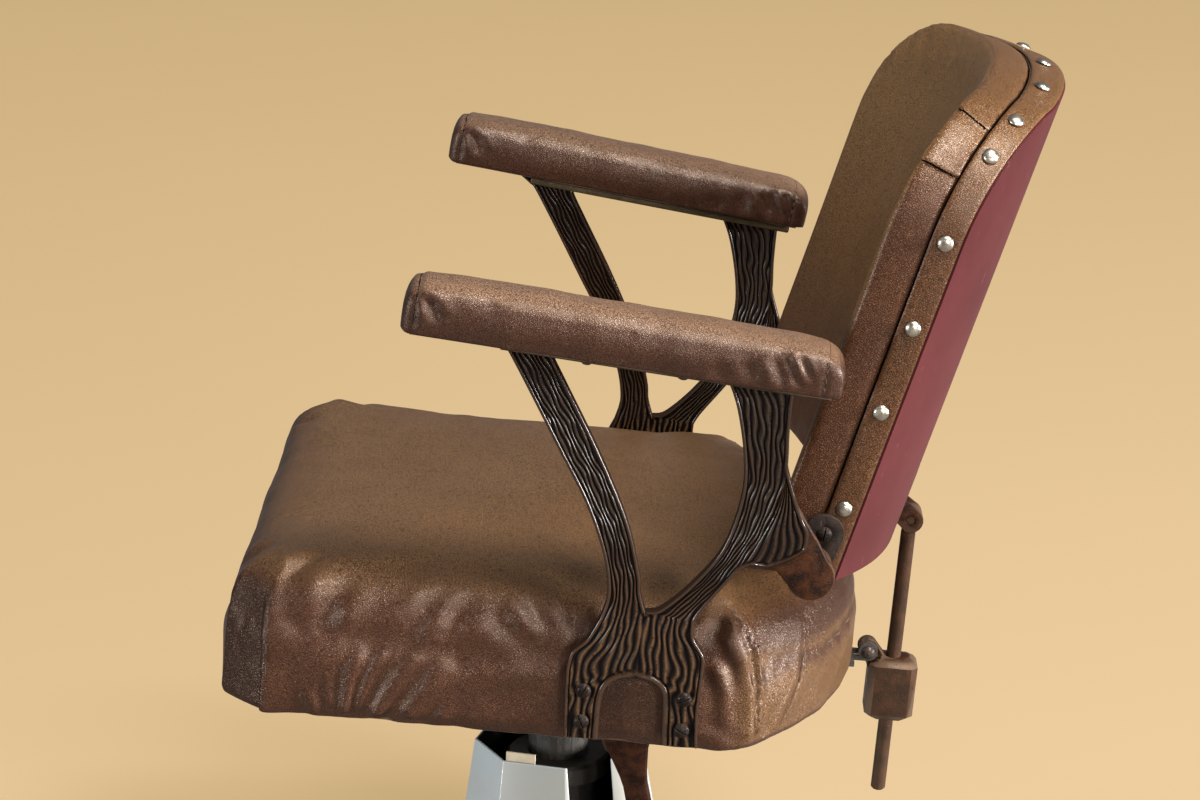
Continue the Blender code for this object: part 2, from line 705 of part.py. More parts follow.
def build_arm(side, label, seat_tilt, iron, leather, wood, steel):
    plane = arm_plane()
    centre = (0, side * plane, 0)
    seam = [ARCH_APEX, CROTCH]
    frame = add(f"arm_frame_{label}", strut_body((FRONT_LEG_OUTER, FRONT_SHOULDER, FRONT_STRUT_OUTER),
                                                 (FRONT_LEG_INNER, seam, FRONT_STRUT_INNER)), iron,
                seat_tilt, centre)
    rear = tool(f"arm_rear_strut_{label}", strut_body((REAR_LEG_OUTER, REAR_SHOULDER, REAR_STRUT_OUTER),
                                                      (REAR_LEG_INNER, seam, REAR_STRUT_INNER)),
                seat_tilt, centre)
    combine(frame, rear, "UNION")
    pad_axis = axis(f"arm_slope_{label}", seat_tilt, (PAD_PLACE, side * plane, PAD_HEIGHTS[label]),
                    (0, PAD_SLOPES[label], 0))
    over_pad = rectangle(PAD_FRONT, PAD_REARS[label], -FLANGE_WIDTH, FLANGE_WIDTH)
    above = slab(over_pad, -FLANGE_THICKNESS / 2, 0.05)
    combine(frame, tool(f"arm_trim_{label}", above, pad_axis), "DIFFERENCE")
    half_web = WEB_THICKNESS / 2
    seam_bar = [(ARCH_APEX[0] - 0.012, ARCH_APEX[1] + 0.006), (ARCH_APEX[0] + 0.012, ARCH_APEX[1] + 0.006),
                (CROTCH[0] + 0.008, CROTCH[1] - 0.006), (CROTCH[0] - 0.008, CROTCH[1] - 0.006)]
    combine(frame, tool(f"arm_seam_{label}", prism(seam_bar, -half_web, half_web), seat_tilt, centre), "UNION")
    web = prism(lobe_outline(), -half_web, half_web)
    combine(frame, tool(f"arm_web_{label}", web, seat_tilt, centre), "UNION")
    boss_start = hinge_plate_outer() + RUNNING
    boss = mirrored(across(rod_body(LOBE_RADIUS - RIB_DEPTH, -plane, -boss_start, 24)), side)
    hinge = (HINGE_PLACE[0], 0, HINGE_PLACE[1])
    combine(frame, tool(f"arm_boss_{label}", boss, seat_tilt, hinge), "UNION")
    flange_plan = rectangle(FLANGE_FRONT, FLANGE_REAR, -FLANGE_WIDTH / 2, FLANGE_WIDTH / 2)
    flange = slab(flange_plan, -FLANGE_THICKNESS, 0)
    combine(frame, tool(f"arm_flange_{label}", flange, pad_axis), "UNION")

    pin_start = BACK_HALF_WIDTH + 2 * FIT
    pin_end = plane + half_web - LOBE_SKIN
    pin = mirrored(across(rod_body(PIN_RADIUS, -pin_end, -pin_start, 16)), side)
    add(f"back_pivot_pin_{label}", pin, steel, seat_tilt, hinge)
    pin_hole = mirrored(across(rod_body(PIN_RADIUS + FIT, -pin_end - FIT, -pin_start + RUNNING, 16)), side)
    combine(frame, tool(f"pin_hole_{label}", pin_hole, seat_tilt, hinge), "DIFFERENCE")

    outside = plane + ARM_THICKNESS / 2 + FIT
    grip = outside - SEAT_HALF_WIDTH + COVER + WOOD_SCREW_GRIP
    for i, (x, z) in enumerate(ARM_SCREW_PLACES):
        place = (x, side * outside, z)
        turn = (math.radians(-90 * side), 0, 0)
        body = screw_body(WOOD_SCREW_RADIUS, WOOD_SCREW_HEAD, WOOD_SCREW_HEAD_HEIGHT, grip)
        add(f"arm_screw_{label}_{i + 1}", body, steel, seat_tilt, place, turn)
        hole = tool(f"arm_screw_hole_{label}_{i + 1}", rod_body(WOOD_SCREW_RADIUS + FIT, -grip - FIT, 0.01, 12),
                    seat_tilt, place, turn)
        for piece in (frame, bpy.data.objects["seat_cushion"], bpy.data.objects["seat_frame"]):
            combine(piece, hole, "DIFFERENCE")
    build_pad(side, label, pad_axis, frame, leather, wood, steel)


def pad_section(x, half, height, edge):
    """The pad's cross section: flat below, rounded shoulders and a slight crown."""
    crown = PAD_CROWN
    points = [(-half + 0.003, 0), (half - 0.003, 0), (half, 0.004)]
    points += arc((half - edge, height - edge), edge, 0, 80, 4)
    for share in (0.5, 0, -0.5):
        points.append((share * half, height + crown * (1 - share * share) - crown * 0.15))
    points += arc((-half + edge, height - edge), edge, 100, 180, 4)
    points.append((-half, 0.004))
    return [Vector((x, y, z)) for y, z in points]


def build_pad(side, label, pad_axis, frame, leather, wood, steel):
    middle = (0, side * PAD_OFFSET, FIT)
    half = PAD_WIDTH / 2
    rear = PAD_REARS[label]
    length = rear - PAD_FRONT
    rings = []
    for share, drawn in ((0, 0.006), (0.012, 0.0015), (0.035, 0), (0.3, -0.0005), (0.7, -0.0005), (0.965, 0),
                         (0.988, 0.0015), (1, 0.006)):
        height = PAD_FRONT_HEIGHT + (PAD_REAR_HEIGHT - PAD_FRONT_HEIGHT) * share - drawn
        rings.append(pad_section(PAD_FRONT + length * share, half - drawn, height, PAD_EDGE_RADIUS))
    pad = add(f"arm_pad_{label}", loft(rings), leather, pad_axis, middle)
    cover = PAD_COVER + 0.006
    outline = rectangle(PAD_FRONT + cover, rear - cover, -half + PAD_COVER, half - PAD_COVER)
    add(f"arm_board_{label}", slab(outline, 0, PAD_BOARD_THICKNESS), wood, pad_axis, middle)
    pocket = slab(inset_loop(outline, -FIT), -0.01, PAD_BOARD_THICKNESS + FIT)
    combine(pad, tool(f"arm_board_pocket_{label}", pocket, pad_axis, middle), "DIFFERENCE")
    below = -FLANGE_THICKNESS - FIT
    grip = SMALL_SCREW_GRIP - below
    for i, x in enumerate(PAD_SCREW_PLACES):
        body = screw_body(SMALL_SCREW_RADIUS, SMALL_SCREW_HEAD, SMALL_SCREW_HEAD_HEIGHT, grip, 10)
        spot = (x, side * FLANGE_WIDTH * 0.28, below)
        upside_down = (math.pi, 0, 0)
        add(f"arm_pad_screw_{label}_{i + 1}", body, steel, pad_axis, spot, upside_down)
        bore = rod_body(SMALL_SCREW_RADIUS + FIT, -grip - FIT, 0.004, 10)
        hole = tool(f"arm_pad_screw_hole_{label}_{i + 1}", bore, pad_axis, spot, upside_down)
        combine(frame, hole, "DIFFERENCE")
        combine(bpy.data.objects[f"arm_board_{label}"], hole, "DIFFERENCE")


# Back rest

def bow(y, depth=BACK_BOW):
    """How far the curved back stands behind its side edges."""
    share = y / BACK_HALF_WIDTH
    return depth * (1 - share * share)


def back_columns(drawn):
    """Places across the back with the height of its rounded top there, drawn in from the outline."""
    half = BACK_HALF_WIDTH - drawn
    radius = BACK_CORNER_RADIUS - drawn
    straight = half - radius
    right = []
    for i in range(5):
        y = straight * i / 5
        share = y / straight
        right.append((y, BACK_TOP - drawn + BACK_TOP_CROWN * (1 - share * share)))
    right += arc((straight, BACK_TOP - drawn - radius), radius, 90, 0, 7)
    left = [(-y, top) for y, top in reversed(right[1:])]
    return left + right


def curved_board(drawn, front, rear, rear_bow=BACK_BOW):
    """A board with the back's outline, bent to its bow."""
    bm = bmesh.new()
    rows = []
    for y, top in back_columns(drawn):
        low = BACK_BOTTOM + drawn
        near, far = front + bow(y), rear + bow(y, rear_bow)
        corners = [(near, y, low), (far, y, low), (far, y, top), (near, y, top)]
        rows.append([bm.verts.new(corner) for corner in corners])
    for a, b in zip(rows, rows[1:]):
        for i in range(4):
            j = (i + 1) % 4
            bm.faces.new((a[i], a[j], b[j], b[i]))
    bm.faces.new(rows[0])
    bm.faces.new(rows[-1])
    return bm


def band_body():
    """The leather strip round the frame's edge, up one side, over the top and down the other."""
    outer = back_columns(0)
    inner = back_columns(BAND_THICKNESS)
    low = BACK_BOTTOM + BAND_THICKNESS + FIT
    outer = [(outer[0][0], low)] + outer + [(outer[-1][0], low)]
    inner = [(inner[0][0], low)] + inner + [(inner[-1][0], low)]
    rings = []
    for (y, s), (inside_y, inside_s) in zip(outer, inner):
        rings.append([Vector((FRAME_FRONT + bow(y), y, s)), Vector((FRAME_REAR + bow(y), y, s)),
                      Vector((FRAME_REAR + bow(inside_y), inside_y, inside_s)),
                      Vector((FRAME_FRONT + bow(inside_y), inside_y, inside_s))])
    return loft(rings)


def back_cushion_body():
    """Boxed sides, a rounded front edge and a front that dips a little below the rim."""
    rings = []
    rear = FRAME_FRONT - FIT
    stations = ((rear, 0.0), (CUSHION_FRONT + CUSHION_EDGE, 0.0), (CUSHION_FRONT + CUSHION_EDGE * 0.35, 0.0020),
                (CUSHION_FRONT, CUSHION_EDGE))
    for front, drawn in stations:
        columns = back_columns(drawn)
        low = BACK_BOTTOM + drawn
        outline = columns + [(y, low) for y, top in reversed(columns)]
        rings.append([Vector((front + bow(y), y, s)) for y, s in outline])
    centre_height = (BACK_TOP + BACK_BOTTOM) / 2
    rim = rings[-1]
    for share in (0.75, 0.4):
        ring = []
        for point in rim:
            y = point.y * share
            s = centre_height + (point.z - centre_height) * share
            ring.append(Vector((CUSHION_FRONT + CUSHION_DISH * (1 - share * share) + bow(y), y, s)))
        rings.append(ring)
    return loft(rings, strips=True)


def plate_outline(radius):
    """A strip with round ends, from the hinge's axis to its screw."""
    dx, dz = PLATE_SCREW_PLACE
    lean = math.degrees(math.atan2(dz, dx))
    hinge_end = arc((0, 0), radius, lean + 90, lean + 270, 10)
    return hinge_end + arc(PLATE_SCREW_PLACE, radius, lean - 90, lean + 90, 10)


def hinge_block(side, gap):
    """The wooden block on the frame's edge that the hinge's screw bites into, enlarged by a gap."""
    n, s = PLATE_SCREW_PLACE
    front = n - HINGE_BLOCK_DEPTH / 2 + BAND_THICKNESS - gap
    rear = n + HINGE_BLOCK_DEPTH / 2 + gap
    outer = BACK_HALF_WIDTH - BAND_THICKNESS - 2 * FIT + gap
    inner = BACK_HALF_WIDTH - BAND_THICKNESS - HINGE_BLOCK_WIDTH - gap
    reach = HINGE_BLOCK_HEIGHT / 2 + gap
    outline = [(front, s - reach), (rear, s - reach), (rear, s + reach), (front, s + reach)]
    return mirrored(prism(outline, inner, outer), side)


def panel_rear():
    return FRAME_REAR + FIT + PANEL_THICKNESS + BACK_BOW + PANEL_BULGE


def lug_out():
    """How far the rod's eye stands behind the hinge axis."""
    return panel_rear() + FIT + LUG_PLATE_THICKNESS + EYE_RADIUS + LUG_EYE_GAP


def build_back(recline_axis, leather, wood, red, steel, rust):
    frame = add("back_frame", curved_board(BAND_THICKNESS + FIT, FRAME_FRONT, FRAME_REAR), wood, recline_axis)
    band = add("back_band", band_body(), leather, recline_axis)
    panel = add("back_panel", curved_board(PANEL_INSET, FRAME_REAR + FIT, FRAME_REAR + FIT + PANEL_THICKNESS,
                                           BACK_BOW + PANEL_BULGE), red, recline_axis)
    cushion = add("back_cushion", back_cushion_body(), leather, recline_axis)

    inside = BACK_HALF_WIDTH + FIT
    outside = hinge_plate_outer()
    for side, label in ((-1, "left"), (1, "right")):
        combine(frame, tool(f"hinge_block_{label}", hinge_block(side, 0), recline_axis), "UNION")
        combine(cushion, tool(f"hinge_block_pocket_{label}", hinge_block(side, FIT), recline_axis), "DIFFERENCE")
        plate_body = mirrored(prism(plate_outline(PLATE_RADIUS), inside, outside), side)
        plate = add(f"hinge_plate_{label}", plate_body, steel, recline_axis)
        pin_hole = mirrored(across(rod_body(PIN_RADIUS + RUNNING, -outside - 0.01, -inside + 0.002, 16)), side)
        combine(plate, tool(f"plate_pin_hole_{label}", pin_hole, recline_axis), "DIFFERENCE")
        place = (PLATE_SCREW_PLACE[0], side * (outside + FIT), PLATE_SCREW_PLACE[1])
        turn = (math.radians(-90 * side), 0, 0)
        grip = PLATE_THICKNESS + 2 * FIT + BAND_THICKNESS + WOOD_SCREW_GRIP
        add(f"hinge_screw_{label}", screw_body(WOOD_SCREW_RADIUS, WOOD_SCREW_HEAD, WOOD_SCREW_HEAD_HEIGHT, grip),
            steel, recline_axis, place, turn)
        hole = tool(f"hinge_screw_hole_{label}", rod_body(WOOD_SCREW_RADIUS + FIT, -grip - FIT, 0.01, 12),
                    recline_axis, place, turn)
        for piece in (plate, band, frame):
            combine(piece, hole, "DIFFERENCE")

    build_lug(recline_axis, frame, panel, steel, rust)


def build_lug(recline_axis, frame, panel, steel, rust):
    """A plate on the panel with two ears that hold the rod's eye."""
    start = panel_rear() + FIT
    plate_rear = start + LUG_PLATE_THICKNESS
    half = LUG_PLATE_WIDTH / 2
    eye = (lug_out(), LUG_HEIGHT)
    ear_inside = EYE_THICKNESS / 2 + RUNNING
    ear_outside = ear_inside + LUG_EAR_THICKNESS
    top_round = arc((0, LUG_PLATE_TOP - half), half, 0, 180, 12)
    lug_face = [(-half, LUG_PLATE_BOTTOM), (half, LUG_PLATE_BOTTOM)] + top_round
    lug_plate = loft([[Vector((x, y, s)) for y, s in lug_face] for x in (start, plate_rear)])
    lug = add("rod_lug", lug_plate, rust, recline_axis)
    for i, side in enumerate((-1, 1)):
        root = plate_rear - 0.002
        ear = [(root, eye[1] + EYE_RADIUS + 0.006), (root, eye[1] - EYE_RADIUS + 0.007)]
        ear += arc(eye, EYE_RADIUS, -95, 80, 10)
        ear_body = mirrored(prism(ear, ear_inside, ear_outside), side)
        combine(lug, tool(f"lug_ear_{i + 1}", ear_body, recline_axis), "UNION")
    hole = across(rod_body(LUG_PIN_RADIUS + FIT, -0.03, 0.03, 14))
    combine(lug, tool("lug_pin_hole", hole, recline_axis, (eye[0], 0, eye[1])), "DIFFERENCE")
    reach = ear_outside - LUG_PIN_RECESS
    pin = across(rod_body(LUG_PIN_RADIUS, -reach, reach, 14))
    add("lug_pin", pin, rust, recline_axis, (eye[0], 0, eye[1]))
    grip = LUG_PLATE_THICKNESS + FIT + PANEL_THICKNESS + PANEL_BULGE + SMALL_SCREW_GRIP
    for i, height in enumerate(LUG_SCREW_HEIGHTS):
        place = (plate_rear + FIT, 0, height)
        turn = (0, math.radians(90), 0)
        body = screw_body(SMALL_SCREW_RADIUS, SMALL_SCREW_HEAD, SMALL_SCREW_HEAD_HEIGHT, grip, 10)
        add(f"lug_screw_{i + 1}", body, steel, recline_axis, place, turn)
        hole = tool(f"lug_screw_hole_{i + 1}", rod_body(SMALL_SCREW_RADIUS + FIT, -grip - FIT, 0.002, 10),
                    recline_axis, place, turn)
        for piece in (lug, panel, frame):
            combine(piece, hole, "DIFFERENCE")


# Recline rod and its clamp

def rod_axis_place():
    """The rod's eye in the seat's frame."""
    n, s = lug_out(), LUG_HEIGHT
    x = HINGE_PLACE[0] + n * math.cos(BACK_ANGLE) + s * math.sin(BACK_ANGLE)
    z = HINGE_PLACE[1] - n * math.sin(BACK_ANGLE) + s * math.cos(BACK_ANGLE)
    return x, z


def block_pin_place():
    return SEAT_REAR + BLOCK_PIN_BEHIND_SEAT, BLOCK_PIN_RISE


def build_rod(rod_axis, rust):
    eye_half = EYE_THICKNESS / 2
    rod = add("prop_rod", across(rod_body(EYE_RADIUS, -eye_half, eye_half, 20)), rust, rod_axis)
    tip = 0.002
    stem = turned([(0, 0), (ROD_RADIUS * 0.8, 0), (ROD_RADIUS, -EYE_RADIUS - ROD_RADIUS / 2),
                   (ROD_RADIUS, -ROD_LENGTH + tip),
                   (ROD_RADIUS - tip, -ROD_LENGTH), (0, -ROD_LENGTH)], 16)
    combine(rod, tool("rod_stem", stem, rod_axis), "UNION")
    hole = across(rod_body(LUG_PIN_RADIUS + RUNNING, -EYE_THICKNESS, EYE_THICKNESS, 14))
    combine(rod, tool("rod_eye_hole", hole, rod_axis), "DIFFERENCE")


def build_block(rod_axis, rust):
    """A chamfered block with the rod's bore and a round ear that hangs it on the seat's bracket."""
    half_x, half_y = BLOCK_LENGTH / 2, BLOCK_WIDTH / 2
    low = BLOCK_TOP - BLOCK_HEIGHT
    cut = BLOCK_CHAMFER

    def ring(inset, height):
        x, y = half_x - inset, half_y - inset
        return [Vector(point + (height,)) for point in (
            (-x + cut, -y), (x - cut, -y), (x, -y + cut), (x, y - cut), (x - cut, y), (-x + cut, y), (-x, y - cut),
            (-x, -y + cut))]

    block = add("clamp_block", loft([ring(cut, low), ring(0, low + cut), ring(0, BLOCK_TOP - cut),
                                     ring(cut * 0.6, BLOCK_TOP - cut * 0.25), ring(cut * 1.4, BLOCK_TOP)]), rust,
                rod_axis)
    pin_x, pin_z = block_pin_place()
    rod_x, rod_z = rod_axis_place()
    ear = (pin_x + BLOCK_EAR_LEAD - rod_x, pin_z - rod_z)
    ear_place = (ear[0], 0, ear[1])
    half_ear = BLOCK_EAR_THICKNESS / 2
    slot_half = half_ear + CHEEK_THICKNESS + 3 * RUNNING
    swing = BLOCK_EAR_CLEARANCE + RUNNING
    slot = across(rod_body(CHEEK_RADIUS + swing, -slot_half, slot_half, 20))
    combine(block, tool("block_cheek_slot", slot, rod_axis, ear_place), "DIFFERENCE")
    corner = across(rod_body(BLOCK_PIN_HEAD + swing, -BLOCK_WIDTH, BLOCK_WIDTH, 17))
    combine(block, tool("block_head_corner", corner, rod_axis, ear_place), "DIFFERENCE")
    root = BLOCK_TOP - 3 * cut
    behind = -ROD_RADIUS - 0.002
    tongue = arc(ear, BLOCK_EAR_RADIUS, 60, 250, 14)
    tongue += [(-half_x + 0.002, root), (behind, root), (behind, BLOCK_TOP + 0.001)]
    combine(block, tool("block_ear", prism(tongue, -half_ear, half_ear), rod_axis), "UNION")
    hole = across(rod_body(BLOCK_PIN_RADIUS + BLOCK_EAR_CLEARANCE, -BLOCK_EAR_THICKNESS, BLOCK_EAR_THICKNESS, 18))
    combine(block, tool("block_ear_hole", hole, rod_axis, ear_place), "DIFFERENCE")
    bore = rod_body(ROD_RADIUS + RUNNING, low - 0.01, BLOCK_TOP + 0.03, 16)
    combine(block, tool("block_bore", bore, rod_axis), "DIFFERENCE")


def build_rod_bracket(seat_tilt, iron, steel):
    """A plate screwed under the seat's rear rail, with two cheeks that carry the block's pin."""
    pin_x, pin_z = block_pin_place()
    plate_top = -FIT - 0.0005
    plate_low = pin_z - CHEEK_RADIUS
    plate_rear = pin_x - BLOCK_EAR_RADIUS - BLOCK_EAR_CLEARANCE - RUNNING
    plate_front = plate_rear - BRACKET_LENGTH
    half = BRACKET_WIDTH / 2
    bracket = add("rod_bracket", slab(rectangle(plate_front, plate_rear, -half, half), plate_low, plate_top), iron,
                  seat_tilt)
    inside = BLOCK_EAR_THICKNESS / 2 + RUNNING
    outside = inside + CHEEK_THICKNESS
    meet = math.degrees(math.asin((plate_top - pin_z) / CHEEK_RADIUS))
    cheek = [(plate_rear - 0.012, plate_top)] + arc((pin_x, pin_z), CHEEK_RADIUS, 180 - meet, -90, 14)
    cheek.append((plate_rear - 0.012, plate_low))
    for i, side in enumerate((-1, 1)):
        body = mirrored(prism(cheek, inside, outside), side)
        combine(bracket, tool(f"bracket_cheek_{i + 1}", body, seat_tilt), "UNION")
    hole = across(rod_body(BLOCK_PIN_RADIUS + FIT, -0.03, 0.03, 14))
    combine(bracket, tool("bracket_pin_hole", hole, seat_tilt, (pin_x, 0, pin_z)), "DIFFERENCE")
    dome = BLOCK_PIN_HEAD
    reach = outside + FIT
    pin = turned([(0, reach + dome), (dome * 0.6, reach + dome * 0.85), (dome, reach + dome * 0.4), (dome, reach),
                  (BLOCK_PIN_RADIUS, reach), (BLOCK_PIN_RADIUS, -reach), (0, -reach)], 16)
    add("block_pin", across(pin), steel, seat_tilt, (pin_x, 0, pin_z))
    for i, side in enumerate((-1, 1)):
        place = (SEAT_REAR - COVER - RAIL_WIDTH / 2, side * BRACKET_SCREW_SPREAD, plate_low - FIT)
        grip = plate_top - plate_low + WOOD_SCREW_GRIP
        add_upward_screw(f"rod_bracket_screw_{i + 1}", place, grip, seat_tilt, steel,
                         (bracket, bpy.data.objects["seat_frame"]))


def add_upward_screw(name, place, grip, parent, steel, pieces):
    """A wood screw driven upwards through a plate into the seat."""
    upside_down = (math.pi, 0, 0)
    body = screw_body(WOOD_SCREW_RADIUS, WOOD_SCREW_HEAD, WOOD_SCREW_HEAD_HEIGHT, grip)
    add(name, body, steel, parent, place, upside_down)
    bore = rod_body(WOOD_SCREW_RADIUS + FIT, -grip - FIT, 0.004, 12)
    hole = tool(f"{name}_hole", bore, parent, place, upside_down)
    for piece in pieces:
        combine(piece, hole, "DIFFERENCE")


# Hand lever

def lever_outline():
    """A round boss drawn down into a bar that swells again at its end, hanging along -Z."""
    neck = 2.1 * LEVER_BOSS_RADIUS
    swell = 0.045
    right = []
    for degrees in (0, -18, -36):
        angle = math.radians(degrees)
        right.append((LEVER_BOSS_RADIUS * math.cos(angle), LEVER_BOSS_RADIUS * math.sin(angle)))
    right += [(LEVER_HALF_WIDTH * 1.12, -neck * 0.78), (LEVER_HALF_WIDTH, -neck),
              (LEVER_HALF_WIDTH, -LEVER_LENGTH + swell), (LEVER_TIP_HALF_WIDTH, -LEVER_LENGTH + swell * 0.45)]
    tip = arc((0, -LEVER_LENGTH + LEVER_TIP_HALF_WIDTH), LEVER_TIP_HALF_WIDTH, 0, -180, 8)
    left = [(-x, z) for x, z in reversed(right)]
    top = arc((0, 0), LEVER_BOSS_RADIUS, 180, 0, 12)[1:-1]
    return right + tip + left + top


def build_lever(seat_tilt, lever_axis, rust, iron, steel):
    half = LEVER_THICKNESS / 2
    lever = add("hand_lever", prism(lever_outline(), -half, half), rust, lever_axis)
    bevel(lever, 0.0022)
    hole = across(rod_body(LEVER_PIN_RADIUS + RUNNING, -LEVER_THICKNESS, half - LEVER_SKIN + FIT, 16))
    combine(lever, tool("lever_hole", hole, lever_axis), "DIFFERENCE")

    x, z = LEVER_PLACE
    hanger_outside = LEVER_SIDE + half + RUNNING
    hanger_inside = hanger_outside + HANGER_THICKNESS
    top = -FIT
    low = top - HANGER_FLANGE
    half_length = HANGER_LENGTH / 2
    bracket = add("lever_bracket", slab(rectangle(x - half_length, x + half_length, hanger_outside,
                                                  hanger_outside + HANGER_WIDTH), low, top), iron, seat_tilt)
    tongue = [(x + 0.4 * HANGER_LENGTH, low + 0.002), (x - 0.4 * HANGER_LENGTH, low + 0.002)]
    tongue += arc((x, z), HANGER_EYE_RADIUS, 180, 360, 12)
    combine(bracket, tool("lever_hanger", prism(tongue, hanger_outside, hanger_inside), seat_tilt), "UNION")
    pin_hole = across(rod_body(LEVER_PIN_RADIUS + FIT, 0, 2 * abs(LEVER_SIDE), 16))
    combine(bracket, tool("lever_pin_hole", pin_hole, seat_tilt, (x, 0, z)), "DIFFERENCE")
    head = LEVER_PIN_RADIUS + 0.003
    tip = half - LEVER_SKIN - LEVER_SIDE
    neck = -hanger_inside - FIT
    pin = turned([(0, tip), (LEVER_PIN_RADIUS, tip), (LEVER_PIN_RADIUS, neck), (head, neck),
                  (head - 0.001, neck - 0.003), (0, neck - 0.003)], 16)
    add("lever_pin", across(pin), steel, seat_tilt, (x, 0, z))
    middle = hanger_inside + (HANGER_WIDTH - HANGER_THICKNESS) / 2
    for i, side in enumerate((-1, 1)):
        place = (x + side * HANGER_SCREW_SPREAD, middle, low - FIT)
        grip = HANGER_FLANGE + 0.8 * BOARD_THICKNESS
        add_upward_screw(f"lever_bracket_screw_{i + 1}", place, grip, seat_tilt, steel,
                         (bracket, bpy.data.objects["seat_board"]))


def main():
    clear_scene()
    leather = finish("brown_leather", (0.105, 0.050, 0.034), 0.42)
    red = finish("burgundy_panel", (0.16, 0.018, 0.035), 0.30)
    iron = finish("dark_cast_iron", (0.055, 0.035, 0.024), 0.45, 0.6)
    rust = finish("rusty_steel", (0.085, 0.045, 0.030), 0.55, 0.6)
    enamel = finish("white_enamel", (0.72, 0.74, 0.73), 0.28)
    black = finish("black_iron", (0.012, 0.012, 0.012), 0.5, 0.3)
    steel = finish("steel", (0.24, 0.20, 0.17), 0.38, 0.9)
    brass = finish("bearing_bronze", (0.45, 0.30, 0.12), 0.35, 0.9)
    wood = finish("beech", (0.45, 0.28, 0.15), 0.6)

    lift_axis = axis("lift_axis")
    swivel_axis = axis("swivel_axis", lift_axis)
    seat_tilt = axis("seat_tilt", swivel_axis, (0, 0, SEAT_HEIGHT), (0, SEAT_SLOPE, 0))
    recline_axis = axis("recline_axis", seat_tilt, (HINGE_PLACE[0], 0, HINGE_PLACE[1]), (0, BACK_ANGLE, 0))
    rod_axis = axis("rod_axis", recline_axis, (lug_out(), 0, LUG_HEIGHT), (0, -BACK_ANGLE, 0))
    lever_axis = axis("lever_axis", seat_tilt, (LEVER_PLACE[0], LEVER_SIDE, LEVER_PLACE[1]), (0, -LEVER_ANGLE, 0))

    build_base(iron, enamel, black)
    build_ram(lift_axis, steel, brass)
    build_seat(seat_tilt, leather, wood)
    build_swivel_head(seat_tilt, iron, steel)
    for side, label in ((-1, "left"), (1, "right")):
        build_arm(side, label, seat_tilt, iron, leather, wood, steel)
    build_back(recline_axis, leather, wood, red, steel, rust)
    build_rod(rod_axis, rust)
    build_block(rod_axis, rust)
    build_rod_bracket(seat_tilt, iron, steel)
    build_lever(seat_tilt, lever_axis, rust, iron, steel)


main()
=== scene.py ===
# %% [markdown]
# A hairdressing chair: a leather seat on a swivelling column, two ribbed cast-iron arms, and a back that leans on a
# sliding rod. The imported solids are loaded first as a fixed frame. Every new piece is built in place over its solid,
# and rides on the body that the solid belongs to, so the chair still turns, rises and reclines.

# %% Load the frame
import json
import math

import bmesh
import bpy
import numpy as np
from mathutils import Matrix, Vector

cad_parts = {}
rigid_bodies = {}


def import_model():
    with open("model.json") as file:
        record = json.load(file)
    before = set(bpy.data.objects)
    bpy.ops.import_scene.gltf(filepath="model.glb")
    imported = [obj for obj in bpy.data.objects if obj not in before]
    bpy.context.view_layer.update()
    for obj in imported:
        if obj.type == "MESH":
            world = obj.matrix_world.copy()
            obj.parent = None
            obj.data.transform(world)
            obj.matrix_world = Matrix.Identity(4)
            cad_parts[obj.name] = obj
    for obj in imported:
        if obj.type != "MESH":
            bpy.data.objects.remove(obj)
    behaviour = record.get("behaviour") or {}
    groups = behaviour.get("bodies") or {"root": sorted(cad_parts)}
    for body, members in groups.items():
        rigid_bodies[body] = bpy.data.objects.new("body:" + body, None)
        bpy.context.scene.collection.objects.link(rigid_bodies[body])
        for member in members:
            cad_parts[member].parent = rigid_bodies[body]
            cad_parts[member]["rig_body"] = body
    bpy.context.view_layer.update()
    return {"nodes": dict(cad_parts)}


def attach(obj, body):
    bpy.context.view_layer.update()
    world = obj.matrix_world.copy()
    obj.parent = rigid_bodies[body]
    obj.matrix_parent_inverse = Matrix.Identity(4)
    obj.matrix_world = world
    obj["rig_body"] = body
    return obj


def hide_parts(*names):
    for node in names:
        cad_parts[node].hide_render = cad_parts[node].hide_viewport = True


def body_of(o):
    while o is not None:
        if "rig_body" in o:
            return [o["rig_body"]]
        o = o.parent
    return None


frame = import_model()
nodes = frame["nodes"]

# %% [markdown]
# The seat slopes five degrees backwards, the back leans from two pins in the arms, and each pad lies at a slope of its
# own. It is easier to model each part in its own upright frame and to turn it into place at the end, so these frames
# come first. X runs rearward, Y to the sitter's right and Z up.

# %% The frames of the seat, the back and the two pads
def turned(degrees):
    return Matrix.Rotation(math.radians(degrees), 4, "Y")


SEAT = Matrix.Translation((0, 0, 0.383)) @ turned(5)
BACK = SEAT @ Matrix.Translation((0.209, 0, 0.169)) @ turned(13.8)
ARM_PLANE = 0.2713
SIDES = {"left": -1, "right": 1}
PADS = {"left": SEAT @ Matrix.Translation((0.035, -ARM_PLANE, 0.346)) @ turned(4),
        "right": SEAT @ Matrix.Translation((0.035, ARM_PLANE, 0.3514)) @ turned(6)}
print("hinge of the back at", [round(v, 4) for v in BACK.translation])

# %% [markdown]
# The camera stands where the photograph was taken: almost square to the chair's left side, a little above it, with a
# long lens. The focal length was found in pixels of a picture 1200 wide, so it is turned into millimetres of a 36 mm
# film.

